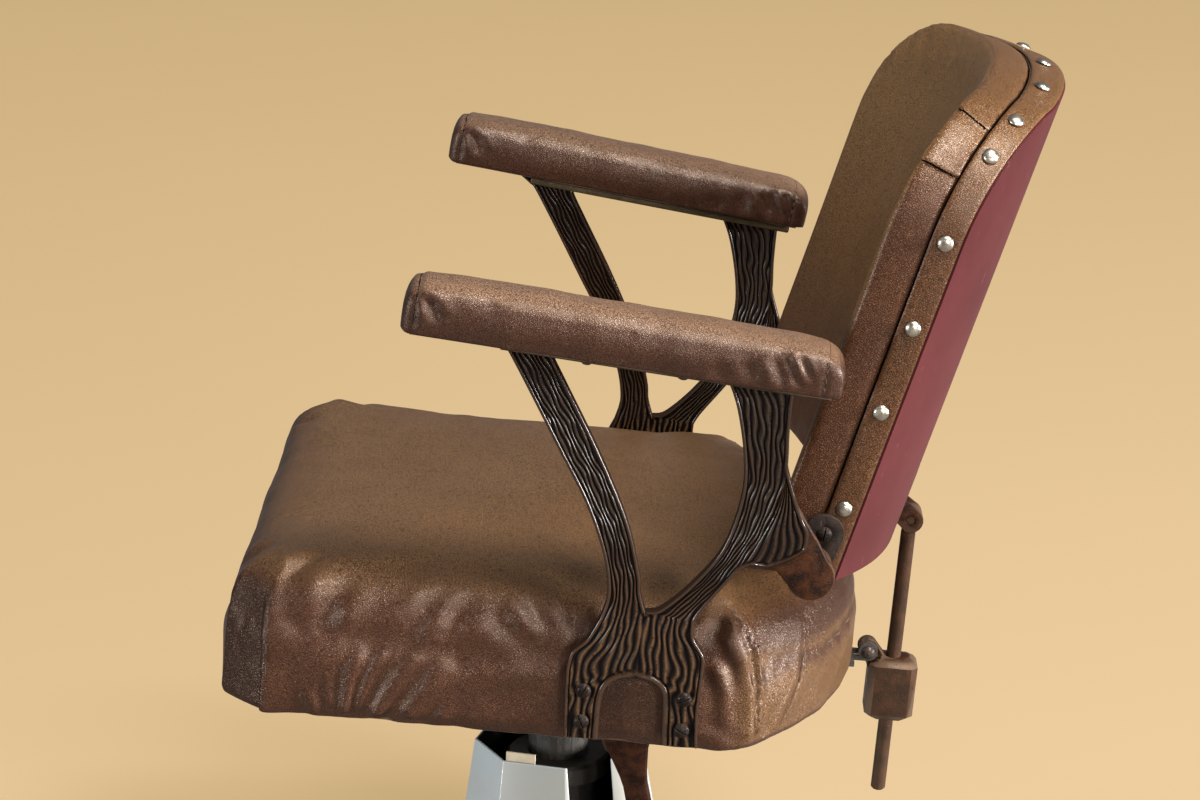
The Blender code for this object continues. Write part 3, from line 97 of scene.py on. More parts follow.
# %% Camera
def photo_camera(focal_pixels, pitch, yaw, roll, place):
    pitch, yaw, roll = (math.radians(v) for v in (pitch, yaw, roll))
    ahead = Vector((math.sin(yaw) * math.cos(pitch), math.cos(yaw) * math.cos(pitch), -math.sin(pitch)))
    level = Vector((math.cos(yaw), -math.sin(yaw), 0))
    above = level.cross(ahead)
    right = math.cos(roll) * level + math.sin(roll) * above
    up = -math.sin(roll) * level + math.cos(roll) * above
    data = bpy.data.cameras.new("photo_camera")
    data.sensor_width = 36.0
    data.lens = focal_pixels * 36.0 / 1200
    camera = bpy.data.objects.new("photo_camera", data)
    bpy.context.collection.objects.link(camera)
    camera.matrix_world = Matrix.Translation(place) @ Matrix((right, up, -ahead)).transposed().to_4x4()
    return camera


bpy.context.scene.camera = photo_camera(3354, 17.418, -1.505, -0.149, (0.1164, -2.9093, 1.5148))
print("lens", round(bpy.context.scene.camera.data.lens, 2), "mm")

# %% [markdown]
# The finishes come before the pieces. Each is a small tree of nodes, so two helpers keep the trees readable: one adds
# a node with its values or links, one adds a colour ramp.

# %% Helpers for materials
def add_node(tree, kind, inputs=None, **settings):
    made = tree.nodes.new(kind)
    for key, value in settings.items():
        setattr(made, key, value)
    for key, value in (inputs or {}).items():
        socket = made.inputs[key]
        if isinstance(value, bpy.types.NodeSocket):
            tree.links.new(value, socket)
        else:
            socket.default_value = value
    return made


def ramp(tree, factor, *stops):
    made = add_node(tree, "ShaderNodeValToRGB", {"Fac": factor})
    elements = made.color_ramp.elements
    elements[0].position, elements[1].position = stops[0][0], stops[-1][0]
    for place, colour in stops[1:-1]:
        elements.new(place)
    for element, (place, colour) in zip(elements, stops):
        element.color = (*colour, 1) if isinstance(colour, tuple) else (colour, colour, colour, 1)
    return made.outputs["Color"]


def mixed(tree, factor, first, second, mode="MIX"):
    made = add_node(tree, "ShaderNodeMix", data_type="RGBA", blend_type=mode)
    for index, value in ((0, factor), (6, first), (7, second)):
        if isinstance(value, bpy.types.NodeSocket):
            tree.links.new(value, made.inputs[index])
        else:
            made.inputs[index].default_value = (*value, 1) if isinstance(value, tuple) else value
    return made.outputs[2]


def sums(tree, operation, first, second):
    return add_node(tree, "ShaderNodeMath", {0: first, 1: second}, operation=operation).outputs[0]


def new_finish(name, roughness=0.5, metallic=0.0, **sockets):
    finish = bpy.data.materials.new(name)
    finish.use_nodes = True
    tree = finish.node_tree
    shader = tree.nodes["Principled BSDF"]
    shader.inputs["Roughness"].default_value = roughness
    shader.inputs["Metallic"].default_value = metallic
    for key, value in sockets.items():
        shader.inputs[key.replace("_", " ").title()].default_value = value
    place = add_node(tree, "ShaderNodeTexCoord").outputs["Object"]
    return finish, tree, shader, place


def set_bump(tree, shader, height, distance, strength=1.0):
    bump = add_node(tree, "ShaderNodeBump", {"Height": height, "Distance": distance, "Strength": strength})
    tree.links.new(bump.outputs["Normal"], shader.inputs["Normal"])


def new_group(name, inputs, outputs):
    group = bpy.data.node_groups.new(name, "ShaderNodeTree")
    for key, kind, value in inputs:
        socket = group.interface.new_socket(key, in_out="INPUT", socket_type=kind)
        if value is not None:
            socket.default_value = value
    for key in outputs:
        group.interface.new_socket(key, in_out="OUTPUT", socket_type="NodeSocketFloat")
    entry = group.nodes.new("NodeGroupInput")
    leave = group.nodes.new("NodeGroupOutput")
    return group, entry.outputs, leave.inputs


def use_group(tree, group, **inputs):
    made = tree.nodes.new("ShaderNodeGroup")
    made.node_tree = group
    for key, value in inputs.items():
        socket = made.inputs[key]
        if isinstance(value, bpy.types.NodeSocket):
            tree.links.new(value, socket)
        else:
            socket.default_value = value
    return made.outputs

# %% [markdown]
# Old cowhide has a pebbled grain of cells one to two millimetres wide with dark lines between them, and finer pores on
# top. The grain is used by the seat, the pads, the back and its band, so it is a group: it puts out a height for the
# bump and a mask of the dark lines.

# %% Grain of the hide
VECTOR, FLOAT = "NodeSocketVector", "NodeSocketFloat"
hide_grain, entry, leave = new_group("hide_grain", [("Place", VECTOR, None), ("Cells", FLOAT, 520.0)],
                                     ["Height", "Lines"])
tree = hide_grain
longer = add_node(tree, "ShaderNodeVectorMath", {0: entry["Place"], 1: (0.74, 1.0, 1.0)}, operation="MULTIPLY")
warp = add_node(tree, "ShaderNodeTexNoise", {"Vector": entry["Place"], "Scale": 160.0, "Detail": 2.0})
spread = add_node(tree, "ShaderNodeVectorMath", {0: warp.outputs["Color"], 1: (0.004, 0.004, 0.004)},
                  operation="MULTIPLY")
bent = add_node(tree, "ShaderNodeVectorMath", {0: longer.outputs[0], 1: spread.outputs[0]}, operation="ADD")
cells = add_node(tree, "ShaderNodeTexVoronoi", {"Vector": bent.outputs[0], "Scale": entry["Cells"]},
                 feature="DISTANCE_TO_EDGE")
domes = add_node(tree, "ShaderNodeMapRange", {"Value": cells.outputs["Distance"], "From Min": 0.0, "From Max": 0.32},
                 interpolation_type="SMOOTHSTEP")
pores = add_node(tree, "ShaderNodeTexNoise", {"Vector": entry["Place"], "Scale": 1900.0, "Detail": 2.0})
height = sums(tree, "ADD", sums(tree, "MULTIPLY", domes.outputs[0], 0.75),
              sums(tree, "MULTIPLY", pores.outputs["Fac"], 0.35))
lines = add_node(tree, "ShaderNodeMapRange", {"Value": cells.outputs["Distance"], "From Min": 0.02, "From Max": 0.20,
                                              "To Min": 1.0, "To Max": 0.0})
tree.links.new(height, leave["Height"])
tree.links.new(lines.outputs[0], leave["Lines"])
print("grain group with", len(tree.nodes), "nodes")

# %% [markdown]
# Wear comes in patches: rubbed leather, rust blooms, chipped and dirty enamel. One group gives such patches at any
# size, and a number says how much of the surface they cover.

# %% Patches of wear
worn_patches, entry, leave = new_group("worn_patches", [("Place", VECTOR, None), ("Scale", FLOAT, 20.0),
                                                        ("Cover", FLOAT, 0.5), ("Edge", FLOAT, 0.12)], ["Mask"])
tree = worn_patches
broad = add_node(tree, "ShaderNodeTexNoise", {"Vector": entry["Place"], "Scale": entry["Scale"], "Detail": 8.0,
                                              "Roughness": 0.62})
start = sums(tree, "SUBTRACT", 1.0, entry["Cover"])
low = sums(tree, "SUBTRACT", start, entry["Edge"])
high = sums(tree, "ADD", start, entry["Edge"])
mask = add_node(tree, "ShaderNodeMapRange", {"Value": broad.outputs["Fac"], "From Min": low, "From Max": high},
                interpolation_type="SMOOTHSTEP")
tree.links.new(mask.outputs[0], leave["Mask"])
print("wear group with", len(tree.nodes), "nodes")

# %% [markdown]
# The hide itself is a mid brown that has gone paler and olive where people sit and lean. A point attribute, painted on
# each piece when it is modelled, says where that is. The same attribute also carries a painted highlight on the seat's
# roll and rear corners, on the tops of the pads and on the upper boxing of the back. One called fold carries painted
# shade in creases, under pleats, behind the boxing and on the low front of the seat.

# %% Leather
def leather(name, deep, mid, pale, cells, roughness, depth):
    finish, tree, shader, place = new_finish(name, roughness)
    shader.inputs["Specular Tint"].default_value = (1.0, 0.80, 0.66, 1)
    grain = use_group(tree, hide_grain, Place=place, Cells=cells)
    wear_and_highlight = add_node(tree, "ShaderNodeAttribute", attribute_name="wear_and_highlight").outputs["Fac"]
    fold = add_node(tree, "ShaderNodeAttribute", attribute_name="fold").outputs["Fac"]
    seam = add_node(tree, "ShaderNodeAttribute", attribute_name="seam").outputs["Fac"]
    seam_on = add_node(tree, "ShaderNodeAttribute", attribute_name="seam_on").outputs["Fac"]
    distance = sums(tree, "ABSOLUTE", sums(tree, "SUBTRACT", seam, 0.5), 0.0)
    line = add_node(tree, "ShaderNodeMapRange", {"Value": distance, "From Min": 0.022, "From Max": 0.055, "To Min": 1.0,
                                                 "To Max": 0.0}).outputs[0]
    line = sums(tree, "MULTIPLY", line, seam_on)
    patches = use_group(tree, worn_patches, Place=place, Scale=14.0, Cover=0.52, Edge=0.22)["Mask"]
    scuffs = use_group(tree, worn_patches, Place=place, Scale=70.0, Cover=0.36, Edge=0.05)["Mask"]
    ground = mixed(tree, patches, deep, mid)
    # Paler where people sit and lean; where the same mask marks lit corners and rolls, this is a painted highlight.
    share = sums(tree, "MULTIPLY", wear_and_highlight, sums(tree, "ADD", sums(tree, "MULTIPLY", patches, 0.14), 0.86))
    ground = mixed(tree, share, ground, pale)
    ground = mixed(tree, sums(tree, "MULTIPLY", scuffs, 0.16), ground, pale)
    ground = mixed(tree, sums(tree, "MULTIPLY", grain["Lines"], 0.80), ground, tuple(0.22 * v for v in deep))
    # Painted shade: folds, creases and recesses are darkened.
    ground = mixed(tree, fold, ground, tuple(0.25 * v for v in deep))
    ground = mixed(tree, line, ground, tuple(0.10 * v for v in deep))
    tree.links.new(ground, shader.inputs["Base Color"])
    gloss = add_node(tree, "ShaderNodeMapRange", {"Value": patches, "To Min": roughness + 0.06,
                                                  "To Max": roughness - 0.04}).outputs[0]
    tree.links.new(sums(tree, "MAXIMUM", gloss, line), shader.inputs["Roughness"])
    # Metallic in the folds removes their diffuse light, which deepens the painted shade.
    tree.links.new(sums(tree, "MAXIMUM", sums(tree, "MULTIPLY", fold, 0.7), line), shader.inputs["Metallic"])
    creases = add_node(tree, "ShaderNodeTexNoise", {"Vector": place, "Scale": 55.0, "Detail": 3.0})
    height = sums(tree, "ADD", sums(tree, "MULTIPLY", creases.outputs["Fac"], 1.4), grain["Height"])
    height = sums(tree, "SUBTRACT", height, sums(tree, "MULTIPLY", line, 0.4))
    set_bump(tree, shader, height, depth)
    return finish


SEAT_HIDE = leather("seat_hide", (0.051, 0.0185, 0.009), (0.078, 0.031, 0.016), (0.228, 0.121, 0.050), 600.0, 0.33, 0.00019)
PAD_HIDE = leather("pad_hide", (0.041, 0.014, 0.0075), (0.061, 0.024, 0.013), (0.245, 0.142, 0.084), 660.0, 0.35, 0.00014)
BACK_HIDE = leather("back_hide", (0.050, 0.015, 0.005), (0.078, 0.026, 0.009), (0.275, 0.143, 0.050), 660.0, 0.35, 0.00017)
print("leathers:", [m.name for m in (SEAT_HIDE, PAD_HIDE, BACK_HIDE)])

# %% [markdown]
# Metal on this chair is mostly old iron. The arms were bronzed and the bronze has stayed on the crests of the ribs
# while the grooves went black. The rod, its block, the lug and the lever are brown with rust. Edges that hands and
# cloths reach are bright.

# %% Iron, rust, brass paint
def rusty(name, dark, brown, bright, roughness=0.62, metallic=0.35, scale=60.0, specular=0.5):
    finish, tree, shader, place = new_finish(name, roughness, metallic)
    shader.inputs["Specular IOR Level"].default_value = specular
    bloom = use_group(tree, worn_patches, Place=place, Scale=scale, Cover=0.5, Edge=0.14)["Mask"]
    pits = use_group(tree, worn_patches, Place=place, Scale=scale * 9, Cover=0.42, Edge=0.06)["Mask"]
    edges = add_node(tree, "ShaderNodeNewGeometry").outputs["Pointiness"]
    rub = add_node(tree, "ShaderNodeMapRange", {"Value": edges, "From Min": 0.52, "From Max": 0.58}).outputs[0]
    ground = mixed(tree, bloom, dark, brown)
    ground = mixed(tree, sums(tree, "MULTIPLY", pits, 0.5), ground, tuple(0.4 * v for v in dark))
    ground = mixed(tree, sums(tree, "MULTIPLY", rub, 0.65), ground, bright)
    tree.links.new(ground, shader.inputs["Base Color"])
    gloss = add_node(tree, "ShaderNodeMapRange", {"Value": bloom, "To Min": roughness - 0.14, "To Max": roughness})
    tree.links.new(gloss.outputs[0], shader.inputs["Roughness"])
    height = sums(tree, "SUBTRACT", sums(tree, "MULTIPLY", bloom, 0.6), sums(tree, "MULTIPLY", pits, 0.5))
    set_bump(tree, shader, height, 0.0006, 0.6)
    return finish


RUST = rusty("rusty_iron", (0.013, 0.005, 0.003), (0.044, 0.015, 0.006), (0.17, 0.11, 0.07), 0.46, 0.2, 60.0, 0.1)
LOBE_RUST = rusty("browned_iron", (0.010, 0.003, 0.001), (0.050, 0.014, 0.003), (0.13, 0.075, 0.04), 0.55, 0.0, 70.0,
                  0.15)
DARK_STEEL = rusty("dark_steel", (0.008, 0.005, 0.004), (0.020, 0.012, 0.008), (0.07, 0.05, 0.04), 0.42, 0.15, 90.0, 0.14)
BLACK_IRON = rusty("black_iron", (0.010, 0.009, 0.008), (0.022, 0.017, 0.013), (0.08, 0.07, 0.06), 0.55, 0.3, 40.0)
BRASS_PAINT = rusty("worn_brass_paint", (0.012, 0.007, 0.004), (0.042, 0.025, 0.010), (0.10, 0.068, 0.030), 0.5, 0.2,
                    45.0, 0.3)


def ribbed_iron():
    finish, tree, shader, place = new_finish("ribbed_iron", 0.40)
    shader.inputs["Specular IOR Level"].default_value = 0.08
    shader.inputs["Coat Roughness"].default_value = 0.22
    crest = add_node(tree, "ShaderNodeAttribute", attribute_name="crest").outputs["Fac"]
    rim = add_node(tree, "ShaderNodeAttribute", attribute_name="rim").outputs["Fac"]
    worn = add_node(tree, "ShaderNodeAttribute", attribute_name="worn").outputs["Fac"]
    bloom = use_group(tree, worn_patches, Place=place, Scale=26.0, Cover=0.55, Edge=0.25)["Mask"]
    specks = use_group(tree, worn_patches, Place=place, Scale=420.0, Cover=0.40, Edge=0.08)["Mask"]
    level = sums(tree, "SUBTRACT", crest, sums(tree, "MULTIPLY", specks, 0.22))
    bare = ramp(tree, level, (0.0, (0.002, 0.001, 0.001)), (0.50, (0.006, 0.003, 0.002)),
                (0.80, (0.040, 0.019, 0.008)), (1.0, (0.150, 0.078, 0.033)))
    kept = ramp(tree, level, (0.0, (0.002, 0.001, 0.001)), (0.55, (0.005, 0.002, 0.001)),
                (0.85, (0.010, 0.004, 0.0015)), (1.0, (0.032, 0.012, 0.004)))
    share = sums(tree, "MULTIPLY", worn, sums(tree, "ADD", sums(tree, "MULTIPLY", bloom, 0.5), 0.5))
    ground = mixed(tree, share, kept, bare)
    ground = mixed(tree, sums(tree, "MULTIPLY", rim, 0.85), ground, (0.022, 0.010, 0.005))
    tree.links.new(ground, shader.inputs["Base Color"])
    gloss = add_node(tree, "ShaderNodeMapRange", {"Value": crest, "To Min": 0.75, "To Max": 0.20})
    tree.links.new(gloss.outputs[0], shader.inputs["Roughness"])
    varnish = add_node(tree, "ShaderNodeMapRange", {"Value": crest, "From Min": 0.55, "From Max": 1.0, "To Min": 0.0,
                                                    "To Max": 1.0})
    tree.links.new(varnish.outputs[0], shader.inputs["Coat Weight"])
    set_bump(tree, shader, specks, 0.0004, 0.35)
    return finish


RIBBED_IRON = ribbed_iron()
print("irons made")

# %% [markdown]
# White enamel on the casing is smooth and hard with a faint waviness, greyer and dirtier in patches, and chipped. Its
# front facets carry a painted shade, a darker yellowish grey, and its inner faces are painted near black as shade. The
# burgundy board behind the back is satin paint or varnish with pale scuffs. Nail heads are nickel.

# %% Enamel, burgundy, nickel, thread, wood
def enamel():
    finish, tree, shader, place = new_finish("white_enamel", 0.34, coat_weight=0.2)
    grime = use_group(tree, worn_patches, Place=place, Scale=9.0, Cover=0.42, Edge=0.25)["Mask"]
    chips = use_group(tree, worn_patches, Place=place, Scale=130.0, Cover=0.27, Edge=0.02)["Mask"]
    inside = add_node(tree, "ShaderNodeAttribute", attribute_name="inside").outputs["Fac"]
    front_facet_shade = add_node(tree, "ShaderNodeAttribute", attribute_name="front_facet_shade").outputs["Fac"]
    ground = mixed(tree, grime, (0.47, 0.515, 0.53), (0.43, 0.435, 0.41))
    ground = mixed(tree, sums(tree, "MULTIPLY", chips, 0.5), ground, (0.22, 0.17, 0.12))
    # Painted shade: the front facets get a darker yellowish grey, and the inner faces go near black.
    ground = mixed(tree, front_facet_shade, ground, (0.32, 0.30, 0.25))
    ground = mixed(tree, inside, ground, (0.006, 0.005, 0.004))
    tree.links.new(ground, shader.inputs["Base Color"])
    wave = add_node(tree, "ShaderNodeTexNoise", {"Vector": place, "Scale": 22.0, "Detail": 2.0})
    set_bump(tree, shader, wave.outputs["Fac"], 0.0008, 0.25)
    return finish


def burgundy():
    finish, tree, shader, place = new_finish("burgundy_board", 0.5)
    shader.inputs["Specular IOR Level"].default_value = 0.22
    cloud = use_group(tree, worn_patches, Place=place, Scale=7.0, Cover=0.5, Edge=0.3)["Mask"]
    long_place = add_node(tree, "ShaderNodeMapping", {"Vector": place, "Rotation": (0.5, 0.4, 0.0),
                                                      "Scale": (1.0, 1.0, 0.14)})
    scuffs = use_group(tree, worn_patches, Place=long_place.outputs[0], Scale=190.0, Cover=0.33, Edge=0.05)["Mask"]
    ground = mixed(tree, cloud, (0.061, 0.0080, 0.0100), (0.095, 0.0166, 0.0182))
    ground = mixed(tree, sums(tree, "MULTIPLY", scuffs, 0.20), ground, (0.34, 0.18, 0.18))
    tree.links.new(ground, shader.inputs["Base Color"])
    gloss = add_node(tree, "ShaderNodeMapRange", {"Value": scuffs, "To Min": 0.46, "To Max": 0.62})
    tree.links.new(gloss.outputs[0], shader.inputs["Roughness"])
    set_bump(tree, shader, scuffs, 0.0002, 0.2)
    return finish


def plain_finish(name, first, second, roughness, metallic, scale):
    finish, tree, shader, place = new_finish(name, roughness, metallic)
    patches = use_group(tree, worn_patches, Place=place, Scale=scale, Cover=0.5, Edge=0.2)["Mask"]
    tree.links.new(mixed(tree, patches, first, second), shader.inputs["Base Color"])
    gloss = add_node(tree, "ShaderNodeMapRange", {"Value": patches, "To Min": roughness + 0.08,
                                                  "To Max": roughness - 0.04})
    tree.links.new(gloss.outputs[0], shader.inputs["Roughness"])
    set_bump(tree, shader, patches, 0.0003, 0.3)
    return finish


ENAMEL = enamel()
BURGUNDY = burgundy()
NICKEL = plain_finish("nail_nickel", (0.54, 0.50, 0.42), (0.38, 0.34, 0.27), 0.32, 1.0, 240.0)
STEEL = plain_finish("plain_steel", (0.40, 0.39, 0.37), (0.30, 0.28, 0.26), 0.38, 1.0, 160.0)
BRONZE = plain_finish("bearing_bronze", (0.36, 0.23, 0.09), (0.26, 0.16, 0.06), 0.4, 1.0, 120.0)
BEECH = plain_finish("old_beech", (0.085, 0.050, 0.027), (0.060, 0.034, 0.018), 0.7, 0.0, 30.0)
THREAD = plain_finish("dark_thread", (0.020, 0.010, 0.006), (0.050, 0.022, 0.012), 0.8, 0.0, 900.0)
CREAM = plain_finish("clip_cream", (0.62, 0.52, 0.36), (0.50, 0.40, 0.26), 0.5, 0.0, 60.0)
print("finishes:", len(bpy.data.materials))

# %% [markdown]
# Most pieces start as one ring of points that is extruded again and again, each new ring moved to its place, as a
# modeller would pull a section along by hand. These helpers do that, and leave the piece alone and selected.

# %% Helpers for modelling
def alone(piece):
    if bpy.context.object and bpy.context.object.mode != "OBJECT":
        bpy.ops.object.mode_set(mode="OBJECT")
    bpy.ops.object.select_all(action="DESELECT")
    piece.select_set(True)
    bpy.context.view_layer.objects.active = piece


def grow(name, rings):
    """A closed body: a flat start ring, extruded through all the others."""
    bpy.ops.object.select_all(action="DESELECT")
    bpy.ops.mesh.primitive_circle_add(vertices=len(rings[0]), radius=0.1, fill_type="NGON")
    piece = bpy.context.object
    piece.name = name
    bpy.ops.object.mode_set(mode="EDIT")
    bpy.ops.mesh.select_mode(type="FACE")
    bpy.ops.mesh.select_all(action="SELECT")
    for number, ring in enumerate(rings):
        if number:
            bpy.ops.mesh.extrude_region_move()
        mesh = bmesh.from_edit_mesh(piece.data)
        end = [face for face in mesh.faces if face.select][0]
        for vertex, point in zip(end.verts, ring):
            vertex.co = point
        bmesh.update_edit_mesh(piece.data)
    bpy.ops.mesh.select_all(action="SELECT")
    bpy.ops.mesh.normals_make_consistent(inside=False)
    bpy.ops.object.mode_set(mode="OBJECT")
    return piece


def put(piece, place):
    alone(piece)
    piece.matrix_world = place
    bpy.ops.object.transform_apply(location=True, rotation=True, scale=True)


def apply_all(piece):
    alone(piece)
    for modifier in list(piece.modifiers):
        bpy.ops.object.modifier_apply(modifier=modifier.name)


def rounded(piece, width, segments=2, limit=35):
    bevel = piece.modifiers.new("rounded", "BEVEL")
    bevel.width = width
    bevel.segments = segments
    bevel.limit_method = "ANGLE"
    bevel.angle_limit = math.radians(limit)
    apply_all(piece)


def smooth(piece, limit=35):
    alone(piece)
    bpy.ops.object.shade_smooth_by_angle(angle=math.radians(limit))


def dress(piece, finish, body, slot, *replaced):
    piece.data.materials.clear()
    piece.data.materials.append(finish)
    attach(piece, body)
    if replaced:
        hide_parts(*replaced)


def points_of(piece):
    flat = np.empty(len(piece.data.vertices) * 3)
    piece.data.vertices.foreach_get("co", flat)
    return flat.reshape(-1, 3)


def normals_of(piece):
    flat = np.empty(len(piece.data.vertices) * 3)
    piece.data.vertices.foreach_get("normal", flat)
    return flat.reshape(-1, 3)


def set_points(piece, points):
    piece.data.vertices.foreach_set("co", points.ravel())
    piece.data.update()


def paint(piece, name, values):
    layer = piece.data.attributes.new(name, "FLOAT", "POINT")
    layer.data.foreach_set("value", np.clip(values, 0, 1).astype(np.float32))

# %% [markdown]
# Leather over stuffing is tight where it is tacked and full in between. Each cushion is drawn a little small, skinned
# with an even net of squares, and blown up by a short cloth simulation in which the tacked edge is held. How far a
# point may move is capped, so the cushion keeps its measured size.

# %% Stuffing by simulation
def skin(piece, voxel):
    alone(piece)
    piece.data.remesh_voxel_size = voxel
    bpy.ops.object.voxel_remesh()


def stuff(piece, held, cap, pressure=4.0):
    start = points_of(piece)
    group = piece.vertex_groups.new(name="tacked")
    group.add([int(i) for i in np.flatnonzero(held(start))], 1.0, "REPLACE")
    cloth = piece.modifiers.new("stuffing", "CLOTH")
    settings = cloth.settings
    settings.quality = 5
    settings.mass = 0.3
    settings.tension_stiffness = settings.compression_stiffness = 25
    settings.bending_stiffness = 2.0
    settings.use_pressure = True
    settings.uniform_pressure_force = pressure
    settings.vertex_group_mass = "tacked"
    settings.effector_weights.gravity = 0
    for number in range(1, 21):
        bpy.context.scene.frame_set(number)
    seen = piece.evaluated_get(bpy.context.evaluated_depsgraph_get())
    moved = points_of(seen)
    bpy.context.scene.frame_set(1)
    step = moved - start
    reach = np.linalg.norm(step, axis=1)
    step *= np.minimum(1, cap / np.maximum(reach, 1e-9))[:, None]
    piece.modifiers.remove(cloth)
    set_points(piece, start + step)
    print(piece.name, "swelled", round(1000 * float(np.minimum(reach, cap).mean()), 1), "mm on average")


def finer(piece, levels=1):
    subdivide = piece.modifiers.new("finer", "SUBSURF")
    subdivide.levels = subdivide.render_levels = levels
    apply_all(piece)

# %% [markdown]
# Creases, tucks and pleats are pressed in afterwards, each along a line of a few points. A crease sinks at the line
# and rises a little beside it. A pleat is a fold laid over: high on one side of its line and low on the other.

# %% Pressing creases
def along(points, line):
    """Distance of each point to a line of points, the share of the line passed, and the vector to it."""
    best = np.full(len(points), 1e9)
    share = np.zeros(len(points))
    away = np.zeros((len(points), 3))
    line = np.asarray(line, float)
    lengths = np.linalg.norm(np.diff(line, axis=0), axis=1)
    total, passed = lengths.sum(), 0.0
    for a, b, length in zip(line, line[1:], lengths):
        t = np.clip(((points - a) @ (b - a)) / length ** 2, 0, 1)
        offset = points - (a + t[:, None] * (b - a))
        distance = np.linalg.norm(offset, axis=1)
        closer = distance < best
        best[closer] = distance[closer]
        share[closer] = ((passed + t * length) / total)[closer]
        away[closer] = offset[closer]
        passed += length
    return best, share, away


def uneven(points):
    """Hand-laid stuffing: slow swells of about a millimetre."""
    x, y, z = points.T
    swell = np.sin(61 * x + 47 * z + 1.1) * np.sin(53 * z - 29 * x + 38 * y + 0.4)
    swell += 0.6 * np.sin(118 * x - 83 * z + 71 * y) * np.sin(97 * z + 64 * x - 45 * y + 2.0)
    return 0.0009 * swell


def tapered(share, taper):
    strength = np.ones(len(share))
    for edge, value in ((taper[0], share), (taper[1], 1 - share)):
        if edge > 0:
            strength *= np.clip(value / edge, 0, 1)
    return strength


def crease(points, normals, folds, line, width, depth, taper=(0.0, 0.5), crease_shade=0.6):
    """A dip along the line with a little rise beside it; a negative depth makes a ridge."""
    distance, share, away = along(points, line)
    strength = tapered(share, taper)
    dip = np.exp(-(distance / width) ** 2)
    shoulder = np.exp(-((distance - 2.1 * width) / (1.1 * width)) ** 2)
    points -= normals * (depth * strength * (dip - 0.45 * shoulder))[:, None]
    # Painted shade along the crease line, stored in folds.
    folds += crease_shade * strength * np.exp(-(distance / (0.55 * width)) ** 2)


def pleat(points, normals, folds, line, over, width, depth, taper=(0.15, 0.1)):
    distance, share, away = along(points, line)
    strength = tapered(share, taper)
    side = np.sign(away @ np.asarray(over, float))
    high = np.where(side > 0, np.exp(-(distance / width) ** 1.5), 0)
    low = np.where(side <= 0, np.exp(-(distance / (0.5 * width)) ** 2), 0)
    points += normals * (depth * strength * (high - 0.35 * low))[:, None]
    # Painted shade on the low side, under the laid-over fold.
    folds += 0.35 * strength * np.exp(-(distance / (0.25 * width)) ** 2) * (side <= 0)

# %% [markdown]
# A seam is a line thinner than the net of points, so it can't be painted as dark points. Instead each point keeps on
# which side of the nearest seam it lies and how far from it. That number runs evenly through zero between the points,
# and the leather finish draws its dark line where it is nearly zero.

# %% Seams
SEAM_REACH = 0.010


def no_seams(count):
    return np.full(count, SEAM_REACH), np.zeros(count)


def seam(seams, points, line, over):
    far, shown = seams
    distance, share, away = along(points, line)
    nearer = distance < np.abs(far)
    signed = np.where(away @ np.asarray(over, float) > 0, distance, -distance)
    far[nearer] = signed[nearer]
    shown[nearer] = (np.clip(share / 0.04, 0, 1) * np.clip((1 - share) / 0.04, 0, 1))[nearer]


def paint_seams(piece, seams):
    far, shown = seams
    paint(piece, "seam", 0.5 + far / (2 * SEAM_REACH))
    paint(piece, "seam_on", shown)

# %% [markdown]
# The seat is one box of leather over a wooden frame: straight sides that follow the arms, a bowed rear, and a front
# with its two corners cut off. The sides roll over into a nearly flat top, more softly at the rear. It could be one
# subdivided cube, but the bowed plan is easier to draw as an outline and to pull up ring by ring.

# %% Seat outline
def arc(centre, radius, start, end, steps):
    angles = [math.radians(start + (end - start) * i / steps) for i in range(steps + 1)]
    return [(centre[0] + radius * math.cos(a), centre[1] + radius * math.sin(a)) for a in angles]


def drawn_in(outline, distance):
    """A counter-clockwise outline moved inwards."""
    result = []
    for i, spot in enumerate(outline):
        before = (Vector(spot) - Vector(outline[i - 1])).normalized()
        after = (Vector(outline[(i + 1) % len(outline)]) - Vector(spot)).normalized()
        first, second = Vector((-before.y, before.x)), Vector((-after.y, after.x))
        result.append(Vector(spot) + (first + second) * (distance / (1 + first.dot(second))))
    return result


SEAT_FRONT, SEAT_REAR, SEAT_HALF = -0.286, 0.275, 0.263
BOW_RADIUS, CORNER = 0.366, 0.045


def seat_outline():
    centre = SEAT_REAR - BOW_RADIUS
    rise = SEAT_HALF - CORNER
    corner_x = centre + math.sqrt((BOW_RADIUS - CORNER) ** 2 - rise ** 2)
    meet = math.degrees(math.atan2(rise, corner_x - centre))
    half = arc((centre, 0), BOW_RADIUS, 0, meet, 14) + arc((corner_x, rise), CORNER, meet, 90, 8)[1:]
    end = SEAT_FRONT + 0.040
    half += [(corner_x + (end - corner_x) * i / 16, SEAT_HALF) for i in range(1, 17)]
    half += [(SEAT_FRONT + 0.020, SEAT_HALF - 0.0175)]
    half += [(SEAT_FRONT, (SEAT_HALF - 0.035) * (8 - i) / 8) for i in range(9)]
    return half + [(x, -y) for x, y in reversed(half[1:-1])]


outline = seat_outline()
print("seat outline of", len(outline), "points")

# %% Seat rings
EDGE_HEIGHT, CROWN = 0.127, 0.012
SMALL = 0.002


def roll_at(x):
    """The radius of the upper edge: small at the front and sides, larger at the rear."""
    share = min(max((x - 0.5 * SEAT_REAR) / (0.4 * SEAT_REAR), 0), 1)
    return 0.040 + 0.020 * share * share * (3 - 2 * share)


